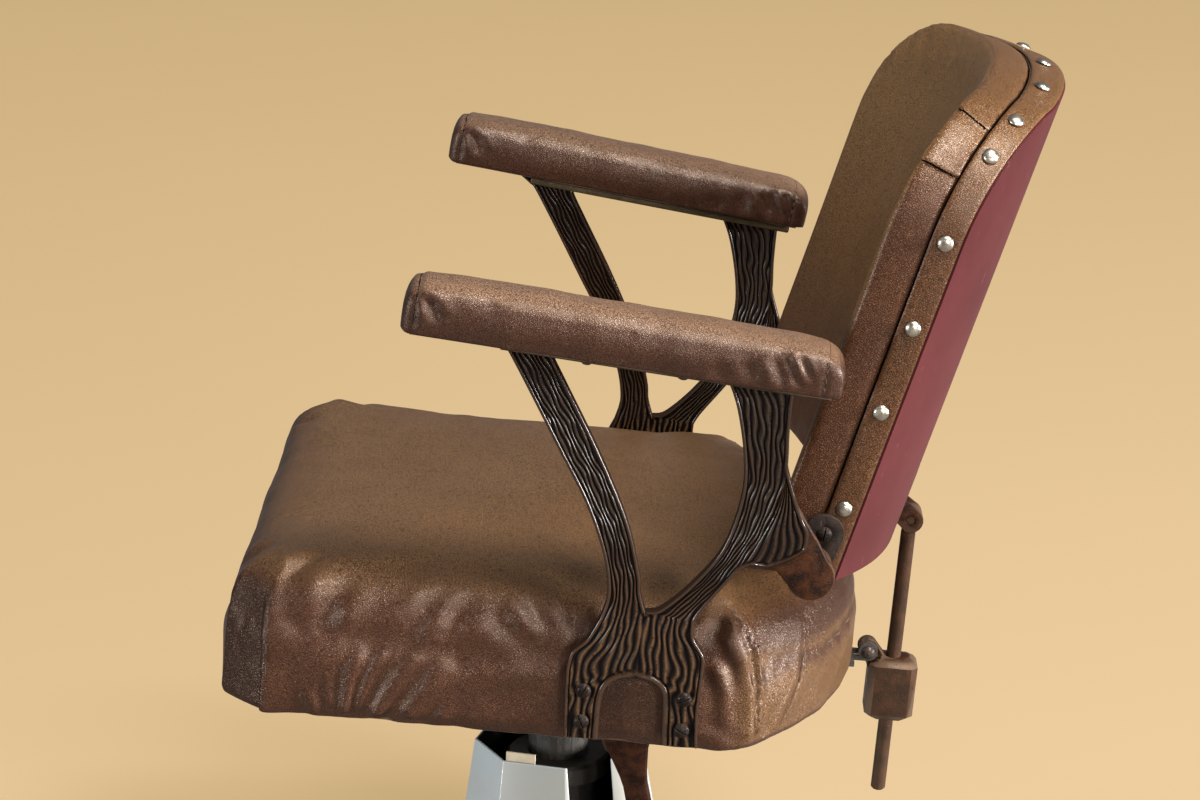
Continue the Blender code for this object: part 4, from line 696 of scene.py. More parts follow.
def seat_rings():
    rings = []
    for height, inset in ((0.012, 0.030), (0.012, 0.010), (-0.001, 0.0065), (-0.0024, 0.0035), (0.003, 0.0005), (0.030, 0.0),
                          (0.055, 0.0)):
        rings.append([Vector((p.x, p.y, height)) for p in drawn_in(outline, inset + SMALL)])
    for degrees in (8, 22, 36, 50, 64, 78):
        angle = math.radians(degrees)
        ring = []
        insets = {}
        for i, (x, y) in enumerate(outline):
            radius = roll_at(x)
            inset = SMALL + radius * (1 - math.cos(angle))
            if inset not in insets:
                insets[inset] = drawn_in(outline, inset)
            spot = insets[inset][i]
            ring.append(Vector((spot.x, spot.y, EDGE_HEIGHT - SMALL - radius * (1 - math.sin(angle)))))
        rings.append(ring)
    middle = Vector(((SEAT_FRONT + SEAT_REAR) / 2, 0, 0))
    rim = rings[-1]
    for share in (0.85, 0.65, 0.45, 0.25, 0.1):
        ring = [middle.lerp(point, share) for point in rim]
        for spot, point in zip(ring, rim):
            spot.z = point.z + CROWN * (1 - share * share)
        rings.append(ring)
    return rings


seat = grow("seat_leather", seat_rings())
skin(seat, 0.005)
stuff(seat, lambda p: (p[:, 2] < 0.006) | ((p[:, 2] < 0.016) & (np.abs(p[:, 1]) < SEAT_HALF - 0.009)), 0.004)
finer(seat)
print("seat of", len(seat.data.polygons), "faces")

# %% [markdown]
# On the real seat the hide is gathered in tucks low on the side in front of the arm, it is dented round the arm's
# foot, two long pleats run down the rear corner, and an upright seam closes the cut-off front corner. The same folds
# are laid on the far side in mirror image.

# %% Folds of the seat
TUCKS = [([(-0.196, -0.264, 0.000), (-0.212, -0.264, 0.030)], 0.0050, 0.0022),
         ([(-0.184, -0.264, 0.000), (-0.190, -0.264, 0.050)], 0.0038, 0.0032),
         ([(-0.175, -0.264, 0.000), (-0.170, -0.264, 0.040), (-0.158, -0.263, 0.078)], 0.0050, 0.0050),
         ([(-0.164, -0.264, 0.000), (-0.154, -0.264, 0.042), (-0.136, -0.263, 0.082)], 0.0036, 0.0036),
         ([(-0.151, -0.264, 0.000), (-0.128, -0.264, 0.042), (-0.102, -0.263, 0.084)], 0.0056, 0.0046),
         ([(-0.122, -0.264, 0.004), (-0.100, -0.264, 0.040), (-0.084, -0.263, 0.070)], 0.0064, 0.0034),
         ([(-0.092, -0.264, 0.004), (-0.078, -0.264, 0.030)], 0.0050, 0.0018),
         ([(0.139, -0.263, 0.080), (0.150, -0.262, 0.050), (0.152, -0.261, 0.004)], 0.0060, 0.0046),
         ([(0.143, -0.258, 0.112), (0.158, -0.258, 0.080), (0.165, -0.257, 0.030)], 0.0054, 0.0044)]
VALLEYS = [[(-0.180, -0.264, 0.000), (-0.180, -0.264, 0.046)], [(-0.170, -0.264, 0.000), (-0.162, -0.264, 0.056)],
           [(-0.158, -0.264, 0.000), (-0.142, -0.264, 0.054)], [(-0.140, -0.264, 0.000), (-0.116, -0.264, 0.050)]]
DENTS = [[(-0.276, -0.198, 0.114), (-0.246, -0.171, 0.127)], [(-0.244, -0.255, 0.108), (-0.199, -0.207, 0.129)],
         [(-0.058, -0.256, 0.108), (-0.042, -0.261, 0.094), (-0.014, -0.262, 0.080)],
         [(-0.130, -0.263, 0.080), (-0.112, -0.258, 0.100), (-0.088, -0.240, 0.124)],
         [(-0.100, -0.263, 0.078), (-0.086, -0.258, 0.100), (-0.066, -0.244, 0.120)],
         [(-0.205, -0.263, 0.070), (-0.190, -0.256, 0.104), (-0.170, -0.238, 0.124)],
         [(0.030, -0.262, 0.086), (0.010, -0.258, 0.104), (-0.006, -0.240, 0.122)],
         [(0.008, -0.262, 0.084), (-0.014, -0.256, 0.106), (-0.030, -0.238, 0.124)],
         [(0.125, -0.262, 0.090), (0.140, -0.250, 0.112), (0.146, -0.226, 0.126)]]
PLEATS = [[(0.140, -0.233, 0.125), (0.155, -0.247, 0.115), (0.169, -0.254, 0.092), (0.177, -0.250, 0.052),
           (0.180, -0.248, 0.002)],
          [(0.211, -0.172, 0.110), (0.218, -0.182, 0.096), (0.218, -0.193, 0.075), (0.217, -0.199, 0.049),
           (0.206, -0.217, 0.024), (0.200, -0.224, 0.002)]]
FRONT_SEAM = [(-0.248, -0.258, 0.100), (-0.247, -0.262, 0.060), (-0.246, -0.263, 0.001)]


def fold_seat(piece):
    points, normals = points_of(piece), normals_of(piece)
    start = points.copy()
    folds = np.zeros(len(points))
    seams = no_seams(len(points))
    for side in (1, -1):
        flip = np.array([1, side, 1])
        for line, width, height in TUCKS:
            crease(points, normals, folds, np.array(line) * flip, width, -height, (0.1, 0.9), 0.0)
        for line in VALLEYS:
            crease(points, normals, folds, np.array(line) * flip, 0.0026, 0.0010, (0.0, 0.9), 0.45)
        for line in DENTS:
            crease(points, normals, folds, np.array(line) * flip, 0.0085, 0.0046, (0.45, 0.5), 0.0)
        for line, over, depth in zip(PLEATS, ((-1, 0.2, 0), (-1, -0.4, 0)), (0.0050, 0.0022)):
            seam(seams, points, np.array(line) * flip, np.array(over) * flip)
            pleat(points, normals, folds, np.array(line) * flip, np.array(over) * flip, 0.020, depth)
            crease(points, normals, folds, np.array(line) * flip, 0.0040, 0.6 * depth, (0.2, 0.1), 0.5)
        seam(seams, points, np.array(FRONT_SEAM) * flip, (1, 0, 0))
        pleat(points, normals, folds, np.array(FRONT_SEAM) * flip, (1, 0, 0), 0.012, 0.0026, (0.12, 0.0))
    points += normals * (uneven(points) * (1 - 0.75 * np.clip(normals[:, 2], 0, 1)))[:, None]
    sunk = np.minimum(((points - start) * normals).sum(axis=1) + 0.0018, 0)
    points -= normals * (sunk * (start[:, 2] < 0.080))[:, None]
    foot = (points[:, 0] > -0.004) & (points[:, 0] < 0.145) & (points[:, 2] < 0.140)
    room = np.where(foot, 0.2646, 0.2680) - 0.2634
    over = np.maximum(np.abs(points[:, 1]) - 0.2634, 0)
    points[:, 1] -= np.sign(points[:, 1]) * (over - room * np.tanh(over / room))
    set_points(piece, points)
    # Paler on top where people sit, with the mask reaching down the roll as a painted highlight.
    top = np.clip((points[:, 2] - 0.100) / 0.03, 0, 1) * np.clip((normals[:, 2] - 0.40) / 0.5, 0, 1)
    # Painted highlight on the rearward-facing sides at the rear corners.
    painted_rear_highlight = np.clip((normals[:, 0] - 0.25) / 0.3, 0, 1) * np.clip((0.26 - np.abs(normals[:, 2])) / 0.2, 0, 1)
    paint(piece, "wear_and_highlight", 0.85 * top + 0.6 * painted_rear_highlight)
    # Painted shade on the lower front faces, carried with the folds.
    front = np.clip((-normals[:, 0] - 0.2) / 0.5, 0, 1) * np.clip((0.115 - points[:, 2]) / 0.02, 0, 1)
    paint(piece, "fold", 0.8 * folds + 0.5 * front)
    paint_seams(piece, seams)


fold_seat(seat)
put(seat, SEAT)
smooth(seat, 180)
dress(seat, SEAT_HIDE, "seat", "brown_leather", "seat_cushion")
print("seat folded:", len(TUCKS) + len(DENTS) + len(PLEATS) + 1, "lines on each side")

# %% [markdown]
# The arm pads are narrow boxes of leather over a board, rounded along the top edges, with a stitched seam near each
# end and slanting wrinkles at the rear where the elbow rests.

# %% Arm pads
PAD_FRONT, PAD_HALF = -0.184, 0.0325
PAD_REARS = {"left": 0.183, "right": 0.171}


def pad_section(x, half, height):
    edge = 0.011
    lip = 0.0030
    points = [(-half + lip, 0.0), (-half + lip + 0.001, 0.004), (half - lip - 0.001, 0.004), (half - lip, 0.0),
              (half - 0.0004, 0.0015), (half, 0.006)]
    points += arc((half - edge, height - edge), edge, 0, 80, 6)
    points += [(share * half, height + 0.003 * (1 - share * share) - 0.0005) for share in (0.4, 0, -0.4)]
    points += arc((-half + edge, height - edge), edge, 100, 180, 6) + [(-half, 0.006), (-half + 0.0004, 0.0015)]
    return [Vector((x, y, z)) for y, z in points]


def pad_rings(rear):
    rings = []
    small = 0.0012
    for share, inset, drop in ((0, 0.0070, 0.0150), (0.005, 0.0038, 0.0092), (0.015, 0.0014, 0.0042),
                               (0.034, 0.0002, 0.0010), (0.06, 0, 0), (0.25, 0, 0), (0.5, 0, 0), (0.75, 0, 0),
                               (0.93, 0, 0.0006), (0.955, 0.0002, 0.0022), (0.98, 0.0014, 0.0056),
                               (0.993, 0.0038, 0.0105), (1, 0.0070, 0.0160)):
        height = 0.043 - 0.004 * share - drop - small
        x = PAD_FRONT + small + (rear - PAD_FRONT - 2 * small) * share
        rings.append(pad_section(x, PAD_HALF - inset - small, height))
    return rings


WRINKLES = [((0.121, 0.032), (0.136, 0.005), 0.0050, 0.0030), ((0.128, 0.036), (0.147, 0.006), 0.0036, 0.0030),
            ((0.139, 0.040), (0.154, 0.012), 0.0030, 0.0024), ((0.098, 0.024), (0.110, 0.006), 0.0062, 0.0018),
            ((0.070, 0.018), (0.088, 0.004), 0.0064, 0.0013), ((-0.163, 0.032), (-0.150, 0.013), 0.0050, 0.0022),
            ((-0.172, 0.036), (-0.155, 0.024), 0.0040, 0.0018)]


def pad_seam(x, half):
    return [(x, -half, 0.002), (x, -half, 0.030), (x, -half + 0.006, 0.040), (x, 0, 0.0435), (x, half - 0.006, 0.040),
            (x, half, 0.030), (x, half, 0.002)]


def fold_pad(piece, rear):
    points, normals = points_of(piece), normals_of(piece)
    folds = np.zeros(len(points))
    seams = no_seams(len(points))
    for side in (1, -1):
        for high, low, width, depth in WRINKLES:
            line = [(high[0], side * PAD_HALF, high[1]), (low[0], side * PAD_HALF, low[1])]
            crease(points, normals, folds, line, width, depth, (0.35, 0.3), 0.0)
    for x in (PAD_FRONT + 0.012, rear - 0.017):
        crease(points, normals, folds, pad_seam(x, PAD_HALF), 0.0024, 0.0009, (0, 0), 0.0)
        seam(seams, points, pad_seam(x, PAD_HALF), (1, 0, 0))
    points += normals * (0.5 * uneven(points))[:, None]
    set_points(piece, points)
    # Paler on top where elbows rest; this is also a painted highlight from the light above.
    top = np.clip((normals[:, 2] - 0.5) / 0.45, 0, 1)
    paint(piece, "wear_and_highlight", 0.9 * top)
    paint(piece, "fold", 0.6 * folds)
    paint_seams(piece, seams)


pads = {}
for label, side in SIDES.items():
    pad = grow(f"arm_pad_leather_{label}", pad_rings(PAD_REARS[label]))
    skin(pad, 0.004)
    stuff(pad, lambda p: p[:, 2] < 0.0055, 0.0022)
    finer(pad)
    fold_pad(pad, PAD_REARS[label])
    put(pad, PADS[label] @ Matrix.Translation((0, side * 0.004, 0.0003)))
    smooth(pad, 180)
    dress(pad, PAD_HIDE, "seat", "brown_leather", f"arm_pad_{label}")
    pads[label] = pad
    print(pad.name, len(pad.data.polygons), "faces")

# %% [markdown]
# The back is a bent board with a stuffed front. Its plan is an arc, its front view a rectangle with two large round
# corners and a slightly raised top. The cushion starts in the middle of its front, grows out to the rim, round the
# boxed side and in again behind.

# %% Outline of the back
BACK_HALF, BACK_CORNER, BACK_TOP, BACK_LOW = 0.238, 0.1155, 0.4145, -0.012


def bow(y, depth=0.0628):
    return depth * (1 - (y / BACK_HALF) ** 2)


def back_columns(inset, flat_steps=8, corner_steps=12):
    """Places across the back with the height of its top there."""
    half, radius = BACK_HALF - inset, BACK_CORNER - inset
    straight = half - radius
    right = []
    for i in range(flat_steps):
        y = straight * i / flat_steps
        right.append((y, BACK_TOP - inset + 0.012 * (1 - (y / straight) ** 2)))
    right += arc((straight, BACK_TOP - inset - radius), radius, 90, 0, corner_steps)
    return [(-y, top) for y, top in reversed(right[1:])] + right


def back_ring(inset, depth):
    """A closed ring round the back: up the left, over the top, down the right and along the bottom."""
    columns = back_columns(inset)
    low = BACK_LOW + inset
    sides = 12
    right = [(columns[-1][0], columns[-1][1] + (low - columns[-1][1]) * i / sides) for i in range(1, sides + 1)]
    bottom = [(right[-1][0] * (1 - 2 * i / 20), low) for i in range(1, 20)]
    left = [(-y, s) for y, s in reversed(right)]
    return [Vector((depth + bow(y), y, s)) for y, s in columns + right + bottom + left]


print("ring of", len(back_ring(0, 0)), "points")

# %% Back cushion
CUSHION_FRONT, FRAME_FRONT, FRAME_REAR = -0.043, -0.002, 0.023


def back_inner(depth_of, share):
    middle = (BACK_TOP + BACK_LOW) / 2
    ring = []
    for point in back_ring(0.010, 0):
        y, s = point.y * share, middle + (point.z - middle) * share
        ring.append(Vector((depth_of(share) + bow(y), y, s)))
    return ring


def back_rings():
    front, rear = CUSHION_FRONT + 0.0015, FRAME_FRONT - 0.0006
    rings = [back_inner(lambda t: front + 0.004 * (1 - t * t), share) for share in (0.06, 0.25, 0.45, 0.65, 0.82, 0.94)]
    for depth, inset in ((front, 0.0080), (front + 0.0012, 0.0042), (front + 0.0040, 0.0014), (front + 0.010, 0.0004),
                         (front + 0.020, 0.0), (rear - 0.006, 0.0002), (rear, 0.0024)):
        rings.append(back_ring(inset, depth))
    rings += [back_inner(lambda t: rear, share) for share in (0.94, 0.65, 0.3, 0.06)]
    return rings


cushion = grow("back_leather", back_rings())
skin(cushion, 0.0055)
stuff(cushion, lambda p: p[:, 0] - bow(p[:, 1]) > CUSHION_FRONT + 0.006, 0.0025)
finer(cushion)
print("back cushion of", len(cushion.data.polygons), "faces")

# %% Folds of the back
CORNER_PLEATS = [[(-0.016, -0.176, 0.400), (0.018, -0.193, 0.390)], [(-0.034, -0.222, 0.357), (0.003, -0.226, 0.351)]]


def fold_back(piece):
    points, normals = points_of(piece), normals_of(piece)
    folds = np.zeros(len(points))
    seams = no_seams(len(points))
    for side in (1, -1):
        flip = np.array([1, side, 1])
        for line in CORNER_PLEATS:
            seam(seams, points, np.array(line) * flip, (0, 0, 1))
            pleat(points, normals, folds, np.array(line) * flip, (0, 0, 1), 0.010, 0.0018 if side > 0 else 0.0005, (0.1, 0.0))
    depth = points[:, 0] - bow(points[:, 1])
    points[:, 0] = np.minimum(points[:, 0], bow(points[:, 1]) + FRAME_FRONT - 0.0004)
    set_points(piece, points)
    facing = np.clip((-normals[:, 0] - 0.4) / 0.5, 0, 1)
    # Painted highlight: the upper boxing above the front is made paler.
    upper = (1 - facing) * np.clip((points[:, 2] - 0.335) / 0.05, 0, 1)
    paint(piece, "wear_and_highlight", facing * np.clip(0.25 + (points[:, 2] - 0.10) / 0.36, 0, 0.9) + 0.4 * upper)
    paint_seams(piece, seams)
    # Painted shade in the pleats and at the rear of the boxing, where it tucks against the band.
    paint(piece, "fold", 0.75 * folds + np.clip((depth - FRAME_FRONT + 0.003) / 0.002, 0, 1))


fold_back(cushion)
put(cushion, BACK)
smooth(cushion, 180)
dress(cushion, BACK_HIDE, "back", "brown_leather", "back_cushion")

# %% [markdown]
# Behind the boxing a strip of the same hide is nailed round the edge of the board. Each domed nail pulls it in a
# little. The strip is a flat section with rounded edges, swept up one side, over the top and down the other.

# %% Nailed band
NAIL_PLACES = [(0.238, 0.057), (0.238, 0.141), (0.238, 0.221), (0.238, 0.302), (0.211, 0.373), (0.174, 0.402),
               (0.090, 0.420), (0.0, 0.4265)]


BOARD_BOW = 0.0688


def band_path():
    columns = back_columns(0, 10, 20)
    sides = 24
    low = BACK_LOW + 0.003
    start, top = columns[0]
    left = [(start, low + (top - low) * i / sides) for i in range(sides)]
    return left + columns + [(-y, s) for y, s in reversed(left)]


def band_rings():
    path = [Vector(p) for p in band_path()]
    rings = []
    for i, spot in enumerate(path):
        ahead = (path[min(i + 1, len(path) - 1)] - path[max(i - 1, 0)]).normalized()
        out = Vector((-ahead.y, ahead.x))
        near = min((spot - Vector((side * y, s))).length for y, s in NAIL_PLACES for side in (1, -1))
        pinch = 0.0010 * math.exp(-(near / 0.011) ** 2)
        section = [(-0.0016, -0.0024), (-0.0016, -0.0008), (0.0006, 0.0002), (0.0040, 0.0007 - pinch / 2),
                   (0.0105, 0.0008 - pinch), (0.0180, 0.0006 - pinch / 2), (0.0222, 0.0002), (0.0238, -0.0008),
                   (0.0240, -0.0030), (0.0105, -0.0026)]
        fuller = bow(spot.x, BOARD_BOW) - bow(spot.x)
        ring = []
        for depth, height in section:
            place = spot + out * height
            ring.append(Vector((depth + fuller * max(depth, 0) / 0.024 + bow(place.x), place.x, place.y)))
        rings.append(ring)
    return rings


band = grow("back_band_leather", band_rings())
finer(band)
points = points_of(band)
# Paler raw edge at the rear; the upper part gets a painted highlight.
upper = np.clip((points[:, 2] - 0.335) / 0.05, 0, 1)
paint(band, "wear_and_highlight", np.where(points[:, 0] - bow(points[:, 1]) > 0.0236, 0.5, 0.12 + 0.3 * upper))
paint(band, "fold", np.zeros(len(points)))
put(band, BACK)
smooth(band, 60)
dress(band, BACK_HIDE, "back", "brown_leather", "back_band")
print("band of", len(band.data.polygons), "faces")

# %% [markdown]
# The nails have thin domed heads of nickel. One is modelled as a ball cut in half and pressed flat, then copied to each
# place and turned to stand square on the band.

# %% Nails
def nail_head():
    bpy.ops.object.select_all(action="DESELECT")
    bpy.ops.mesh.primitive_uv_sphere_add(segments=24, ring_count=12, radius=0.0071)
    nail = bpy.context.object
    bpy.ops.object.mode_set(mode="EDIT")
    bpy.ops.mesh.select_all(action="SELECT")
    bpy.ops.mesh.bisect(plane_co=(0, 0, 0.0008), plane_no=(0, 0, 1), use_fill=True, clear_inner=True)
    bpy.ops.mesh.select_all(action="SELECT")
    bpy.ops.transform.resize(value=(1, 1, 0.55))
    bpy.ops.object.mode_set(mode="OBJECT")
    nail.name = "nail_pattern"
    return nail


def copied(pattern, name, place):
    piece = pattern.copy()
    piece.data = pattern.data.copy()
    piece.name = name
    bpy.context.collection.objects.link(piece)
    put(piece, place)
    return piece


pattern = nail_head()
path = [Vector(p) for p in band_path()]
count = 0
for side in (-1, 1):
    for y, s in NAIL_PLACES:
        if y == 0 and side > 0:
            continue
        spot = Vector((side * y, s))
        nearest = min(range(1, len(path) - 1), key=lambda i: (path[i] - spot).length)
        ahead = (path[nearest + 1] - path[nearest - 1]).normalized()
        out = Vector((0, -ahead.y, ahead.x))
        level = Vector((1, 0, 0))
        turn = Matrix((level, out.cross(level), out)).transposed().to_4x4()
        spot = path[nearest] + Vector((out.y, out.z)) * -0.0007
        place = BACK @ Matrix.Translation((0.0110 + bow(spot.x), spot.x, spot.y)) @ turn
        count += 1
        nail = copied(pattern, f"band_nail_{count}", place)
        smooth(nail, 40)
        dress(nail, NICKEL, "back", "steel")
bpy.data.objects.remove(pattern)
print(count, "nails")

# %% [markdown]
# The rear of the back is a bent burgundy board, fuller in the middle than the frame it closes. A grid is laid out to the
# outline of the back, bent to the bow, and given its thickness by Solidify.

# %% Burgundy board
def burgundy_board():
    columns = back_columns(0.0035, 14, 20)
    rows = 24
    bpy.ops.object.select_all(action="DESELECT")
    bpy.ops.mesh.primitive_grid_add(x_subdivisions=len(columns) - 1, y_subdivisions=rows, size=1)
    board = bpy.context.object
    board.name = "burgundy_back_board"
    order = sorted(range(len(board.data.vertices)), key=lambda i: (round(board.data.vertices[i].co.x, 4),
                                                                   round(board.data.vertices[i].co.y, 4)))
    low = BACK_LOW + 0.0035
    for place, index in enumerate(order):
        y, top = columns[place // (rows + 1)]
        share = (place % (rows + 1)) / rows
        board.data.vertices[index].co = (FRAME_REAR + 0.0003 + bow(y, BOARD_BOW), y, low + (top - low) * share)
    return board


board = burgundy_board()
thick = board.modifiers.new("thick", "SOLIDIFY")
thick.thickness = 0.0018
thick.offset = 0
apply_all(board)
points = points_of(board)
alone(board)
bpy.ops.object.mode_set(mode="EDIT")
bpy.ops.mesh.select_all(action="SELECT")
bpy.ops.mesh.normals_make_consistent(inside=False)
bpy.ops.object.mode_set(mode="OBJECT")
put(board, BACK @ Matrix.Translation((0.0009, 0, 0)))
smooth(board, 40)
dress(board, BURGUNDY, "back", "burgundy_panel", "back_panel")
print("board of", len(board.data.polygons), "faces")

# %% [markdown]
# The arms are the showpiece: flat castings shaped like a Y, covered on both faces with fine wavy ribs that run up from
# the two feet into both struts, inside a smooth rim. Hundreds of ribbed lines can't be pulled by hand, so the casting
# is a net of points between its outlines, and the height of each point follows its distance to the rim and its place
# among the ribs.

# %% Outlines of the arm
CROTCH, APEX = (0.074, 0.126), (0.071, 0.067)
SEAM = [APEX, CROTCH]
FRONT_OUTER = [[(0.015, 0.007), (0.013, 0.038), (0.012, 0.068)],
               [(0.012, 0.068), (0.015, 0.084), (0.027, 0.097), (0.037, 0.118)],
               [(0.037, 0.118), (0.041, 0.140), (0.035, 0.172), (0.017, 0.216), (-0.011, 0.264), (-0.041, 0.315),
                (-0.0600, 0.346), (-0.0650, 0.3510), (-0.0760, 0.3595)]]
FRONT_INNER = [[(0.044, 0.007), (0.044, 0.040), (0.0475, 0.055), (0.056, 0.063), APEX], SEAM,
               [CROTCH, (0.069, 0.141), (0.066, 0.160), (0.052, 0.205), (0.024, 0.262), (-0.008, 0.318),
                (-0.0215, 0.342), (-0.0220, 0.3490), (-0.0120, 0.3547)]]
REAR_OUTER = [[(0.129, 0.007), (0.127, 0.040), (0.128, 0.075)],
              [(0.128, 0.075), (0.127, 0.090), (0.117, 0.106), (0.116, 0.121)],
              [(0.116, 0.121), (0.123, 0.134), (0.148, 0.170), (0.165, 0.203), (0.176, 0.235), (0.180, 0.264),
               (0.1785, 0.297), (0.1790, 0.332), (0.1830, 0.3385), (0.1890, 0.3430)]]
REAR_INNER = [[(0.098, 0.007), (0.096, 0.045), (0.0935, 0.056), (0.086, 0.063), APEX], SEAM,
              [CROTCH, (0.087, 0.130), (0.112, 0.156), (0.134, 0.190), (0.1445, 0.235), (0.143, 0.270),
               (0.134, 0.310), (0.1240, 0.334), (0.1180, 0.3405), (0.1060, 0.3468)]]
FAN_LOW = [(0.148, 0.170), (0.158, 0.1755), (0.173, 0.1755), (0.189, 0.1825), (0.203, 0.193)]
FAN_RIGHT = [(0.203, 0.193), (0.203, 0.208), (0.197, 0.220), (0.190, 0.236), (0.182, 0.258), (0.180, 0.266)]
ROWS = (30, 26, 100)


def smooth_path(points, count):
    """As many points, evenly spaced on a smooth curve through the given ones."""
    knots = np.array(points, float)
    padded = np.vstack((knots[:1], knots, knots[-1:]))
    dense = []
    for a, b, c, d in zip(padded, padded[1:], padded[2:], padded[3:]):
        t = (np.arange(16) / 16)[:, None]
        dense.append(0.5 * (2 * b + (c - a) * t + (2 * a - 5 * b + 4 * c - d) * t ** 2
                            + (3 * b - a - 3 * c + d) * t ** 3))
    dense = np.vstack(dense + [knots[-1:]])
    reach = np.concatenate(([0], np.cumsum(np.linalg.norm(np.diff(dense, axis=0), axis=1))))
    wanted = np.linspace(0, reach[-1], count)
    return np.stack([np.interp(wanted, reach, dense[:, k]) for k in (0, 1)], axis=1)


def edge_of(stretches):
    parts = [smooth_path(points, count) for points, count in zip(stretches, ROWS)]
    return np.vstack([parts[0]] + [part[1:] for part in parts[1:]])


print("arm edges of", len(edge_of(FRONT_OUTER)), "rows")

# %% The ribbed net
COLUMNS, RIBS = 85, 8
RIM, ARCH_RIM, RIB_DEPTH, HALF_THICK = 0.0030, 0.0050, 0.0018, 0.006


def strut_net(outer, inner):
    """Points across and along one strut, and each one's place among the ribs.

    In the legs the ribs run straight down and end at the arch, so there they are counted as if the arch were filled.
    """
    outer, inner = edge_of(outer), edge_of(inner)
    share = np.linspace(0, 1, COLUMNS)
    middle = (outer + inner) / 2
    reach = np.concatenate(([0], np.cumsum(np.linalg.norm(np.diff(middle, axis=0), axis=1))))
    spots = outer[:, None] * (1 - share)[None, :, None] + inner[:, None] * share[None, :, None]
    width = np.linalg.norm(inner - outer, axis=1)
    full = np.where(np.arange(len(width)) < ROWS[0], np.abs(APEX[0] - outer[:, 0]), width)
    phase = share[None, :] * (RIBS * width / full)[:, None]
    wave = 0.17 * np.sin(math.tau * reach / 0.052) + 0.08 * np.sin(math.tau * reach / 0.024 + 1.3)
    drift = 0.15 * np.sin(math.tau * (reach[:, None] / 0.085 + 1.4 * share[None, :]))
    drift += 0.13 * np.sin(math.tau * (reach[:, None] / 0.033 - 2.3 * share[None, :]))
    return spots, phase + wave[:, None] + drift


def distance_to(spots, edge):
    flat = spots.reshape(-1, 2)
    best = np.full(len(flat), 1e9)
    for a, b in zip(edge, edge[1:]):
        span = b - a
        t = np.clip(((flat - a) @ span) / max(span @ span, 1e-12), 0, 1)
        best = np.minimum(best, np.linalg.norm(flat - (a + t[:, None] * span), axis=1))
    return best.reshape(spots.shape[:2])


def rim_edges():
    """The edges that carry a smooth rim, with its width: outsides, the arch and the inside of the V."""
    leg, bridge = ROWS[0], ROWS[0] + ROWS[1] - 1
    rear = edge_of(REAR_OUTER)
    below = rear[:, 1] < FAN_LOW[0][1]
    above = rear[:, 1] > FAN_RIGHT[-1][1]
    edges = [(edge_of(FRONT_OUTER), RIM), (rear[below], RIM), (rear[above], RIM), (smooth_path(FAN_LOW, 30), RIM),
             (smooth_path(FAN_RIGHT, 30), RIM)]
    for inner in (FRONT_INNER, REAR_INNER):
        whole = edge_of(inner)
        edges += [(whole[:leg], ARCH_RIM), (whole[bridge - 1:], RIM)]
    return edges


def rib_heights(spots, phase):
    near = np.min([distance_to(spots, edge) * (RIM / width) for edge, width in rim_edges()], axis=0)
    within = 1 - np.abs(2 * (phase - np.floor(phase)) - 1) ** 1.7
    ribs = within * np.clip((near - RIM) / 0.0012, 0, 1)
    rim = np.sqrt(np.clip(1 - ((near - RIM / 2) / (RIM / 2)) ** 2, 0, 1))
    crest = np.where(near < RIM, 0.30 + 0.75 * rim, 0.92 * ribs)
    return crest, np.clip((RIM + 0.0004 - near) / 0.0006, 0, 1)


# %% Casting of one arm
def net_mesh(spots, phase, open_rows=(), open_start=False):
    """A closed body with the ribbed net on both faces; some of its edges may stay open to be merged."""
    crest, rim = rib_heights(spots, phase)
    height = HALF_THICK - RIB_DEPTH * (1 - crest)
    rows, columns = spots.shape[:2]
    front = np.dstack((spots[:, :, 0], height, spots[:, :, 1])).reshape(-1, 3)
    count = rows * columns
    faces = []
    for i in range(rows - 1):
        for j in range(columns - 1):
            a = i * columns + j
            quad = (a, a + 1, a + columns + 1, a + columns)
            faces += [quad, tuple(count + k for k in reversed(quad))]
        a, b = i * columns, (i + 1) * columns
        faces.append((a, b, count + b, count + a))
        if i not in open_rows:
            a, b = a + columns - 1, b + columns - 1
            faces.append((b, a, count + a, count + b))
    last = (rows - 1) * columns
    faces.append(tuple(range(columns)) + tuple(count + k for k in reversed(range(columns))))
    faces.append(tuple(last + k for k in reversed(range(columns))) + tuple(count + last + k for k in range(columns)))
    worn = np.clip(1.0 - (front[:, 2] - 0.10) / 0.10, 0.30, 1)
    return np.vstack((front, front * (1, -1, 1))), faces, crest.ravel(), rim.ravel(), worn


def fan_net():
    """The wedge beside the rear strut, whose ribs spread from a point above down to the lobe."""
    left = smooth_path([(0.148, 0.170), (0.165, 0.203), (0.176, 0.235), (0.180, 0.264)], 60)[::-1]
    right = smooth_path(FAN_RIGHT, 60)[::-1] + (0.0002, 0)
    low = smooth_path(FAN_LOW, 49)
    share = np.linspace(0, 1, 49)
    down = np.linspace(0, 1, 60)
    spots = left[:, None] * (1 - share)[None, :, None] + right[:, None] * share[None, :, None]
    straight = spots[-1]
    spots = spots + (down ** 2)[:, None, None] * (low - straight)[None]
    wave = 0.12 * np.sin(math.tau * down / 0.5)
    return spots, share[None, :] * 6.5 + wave[:, None]


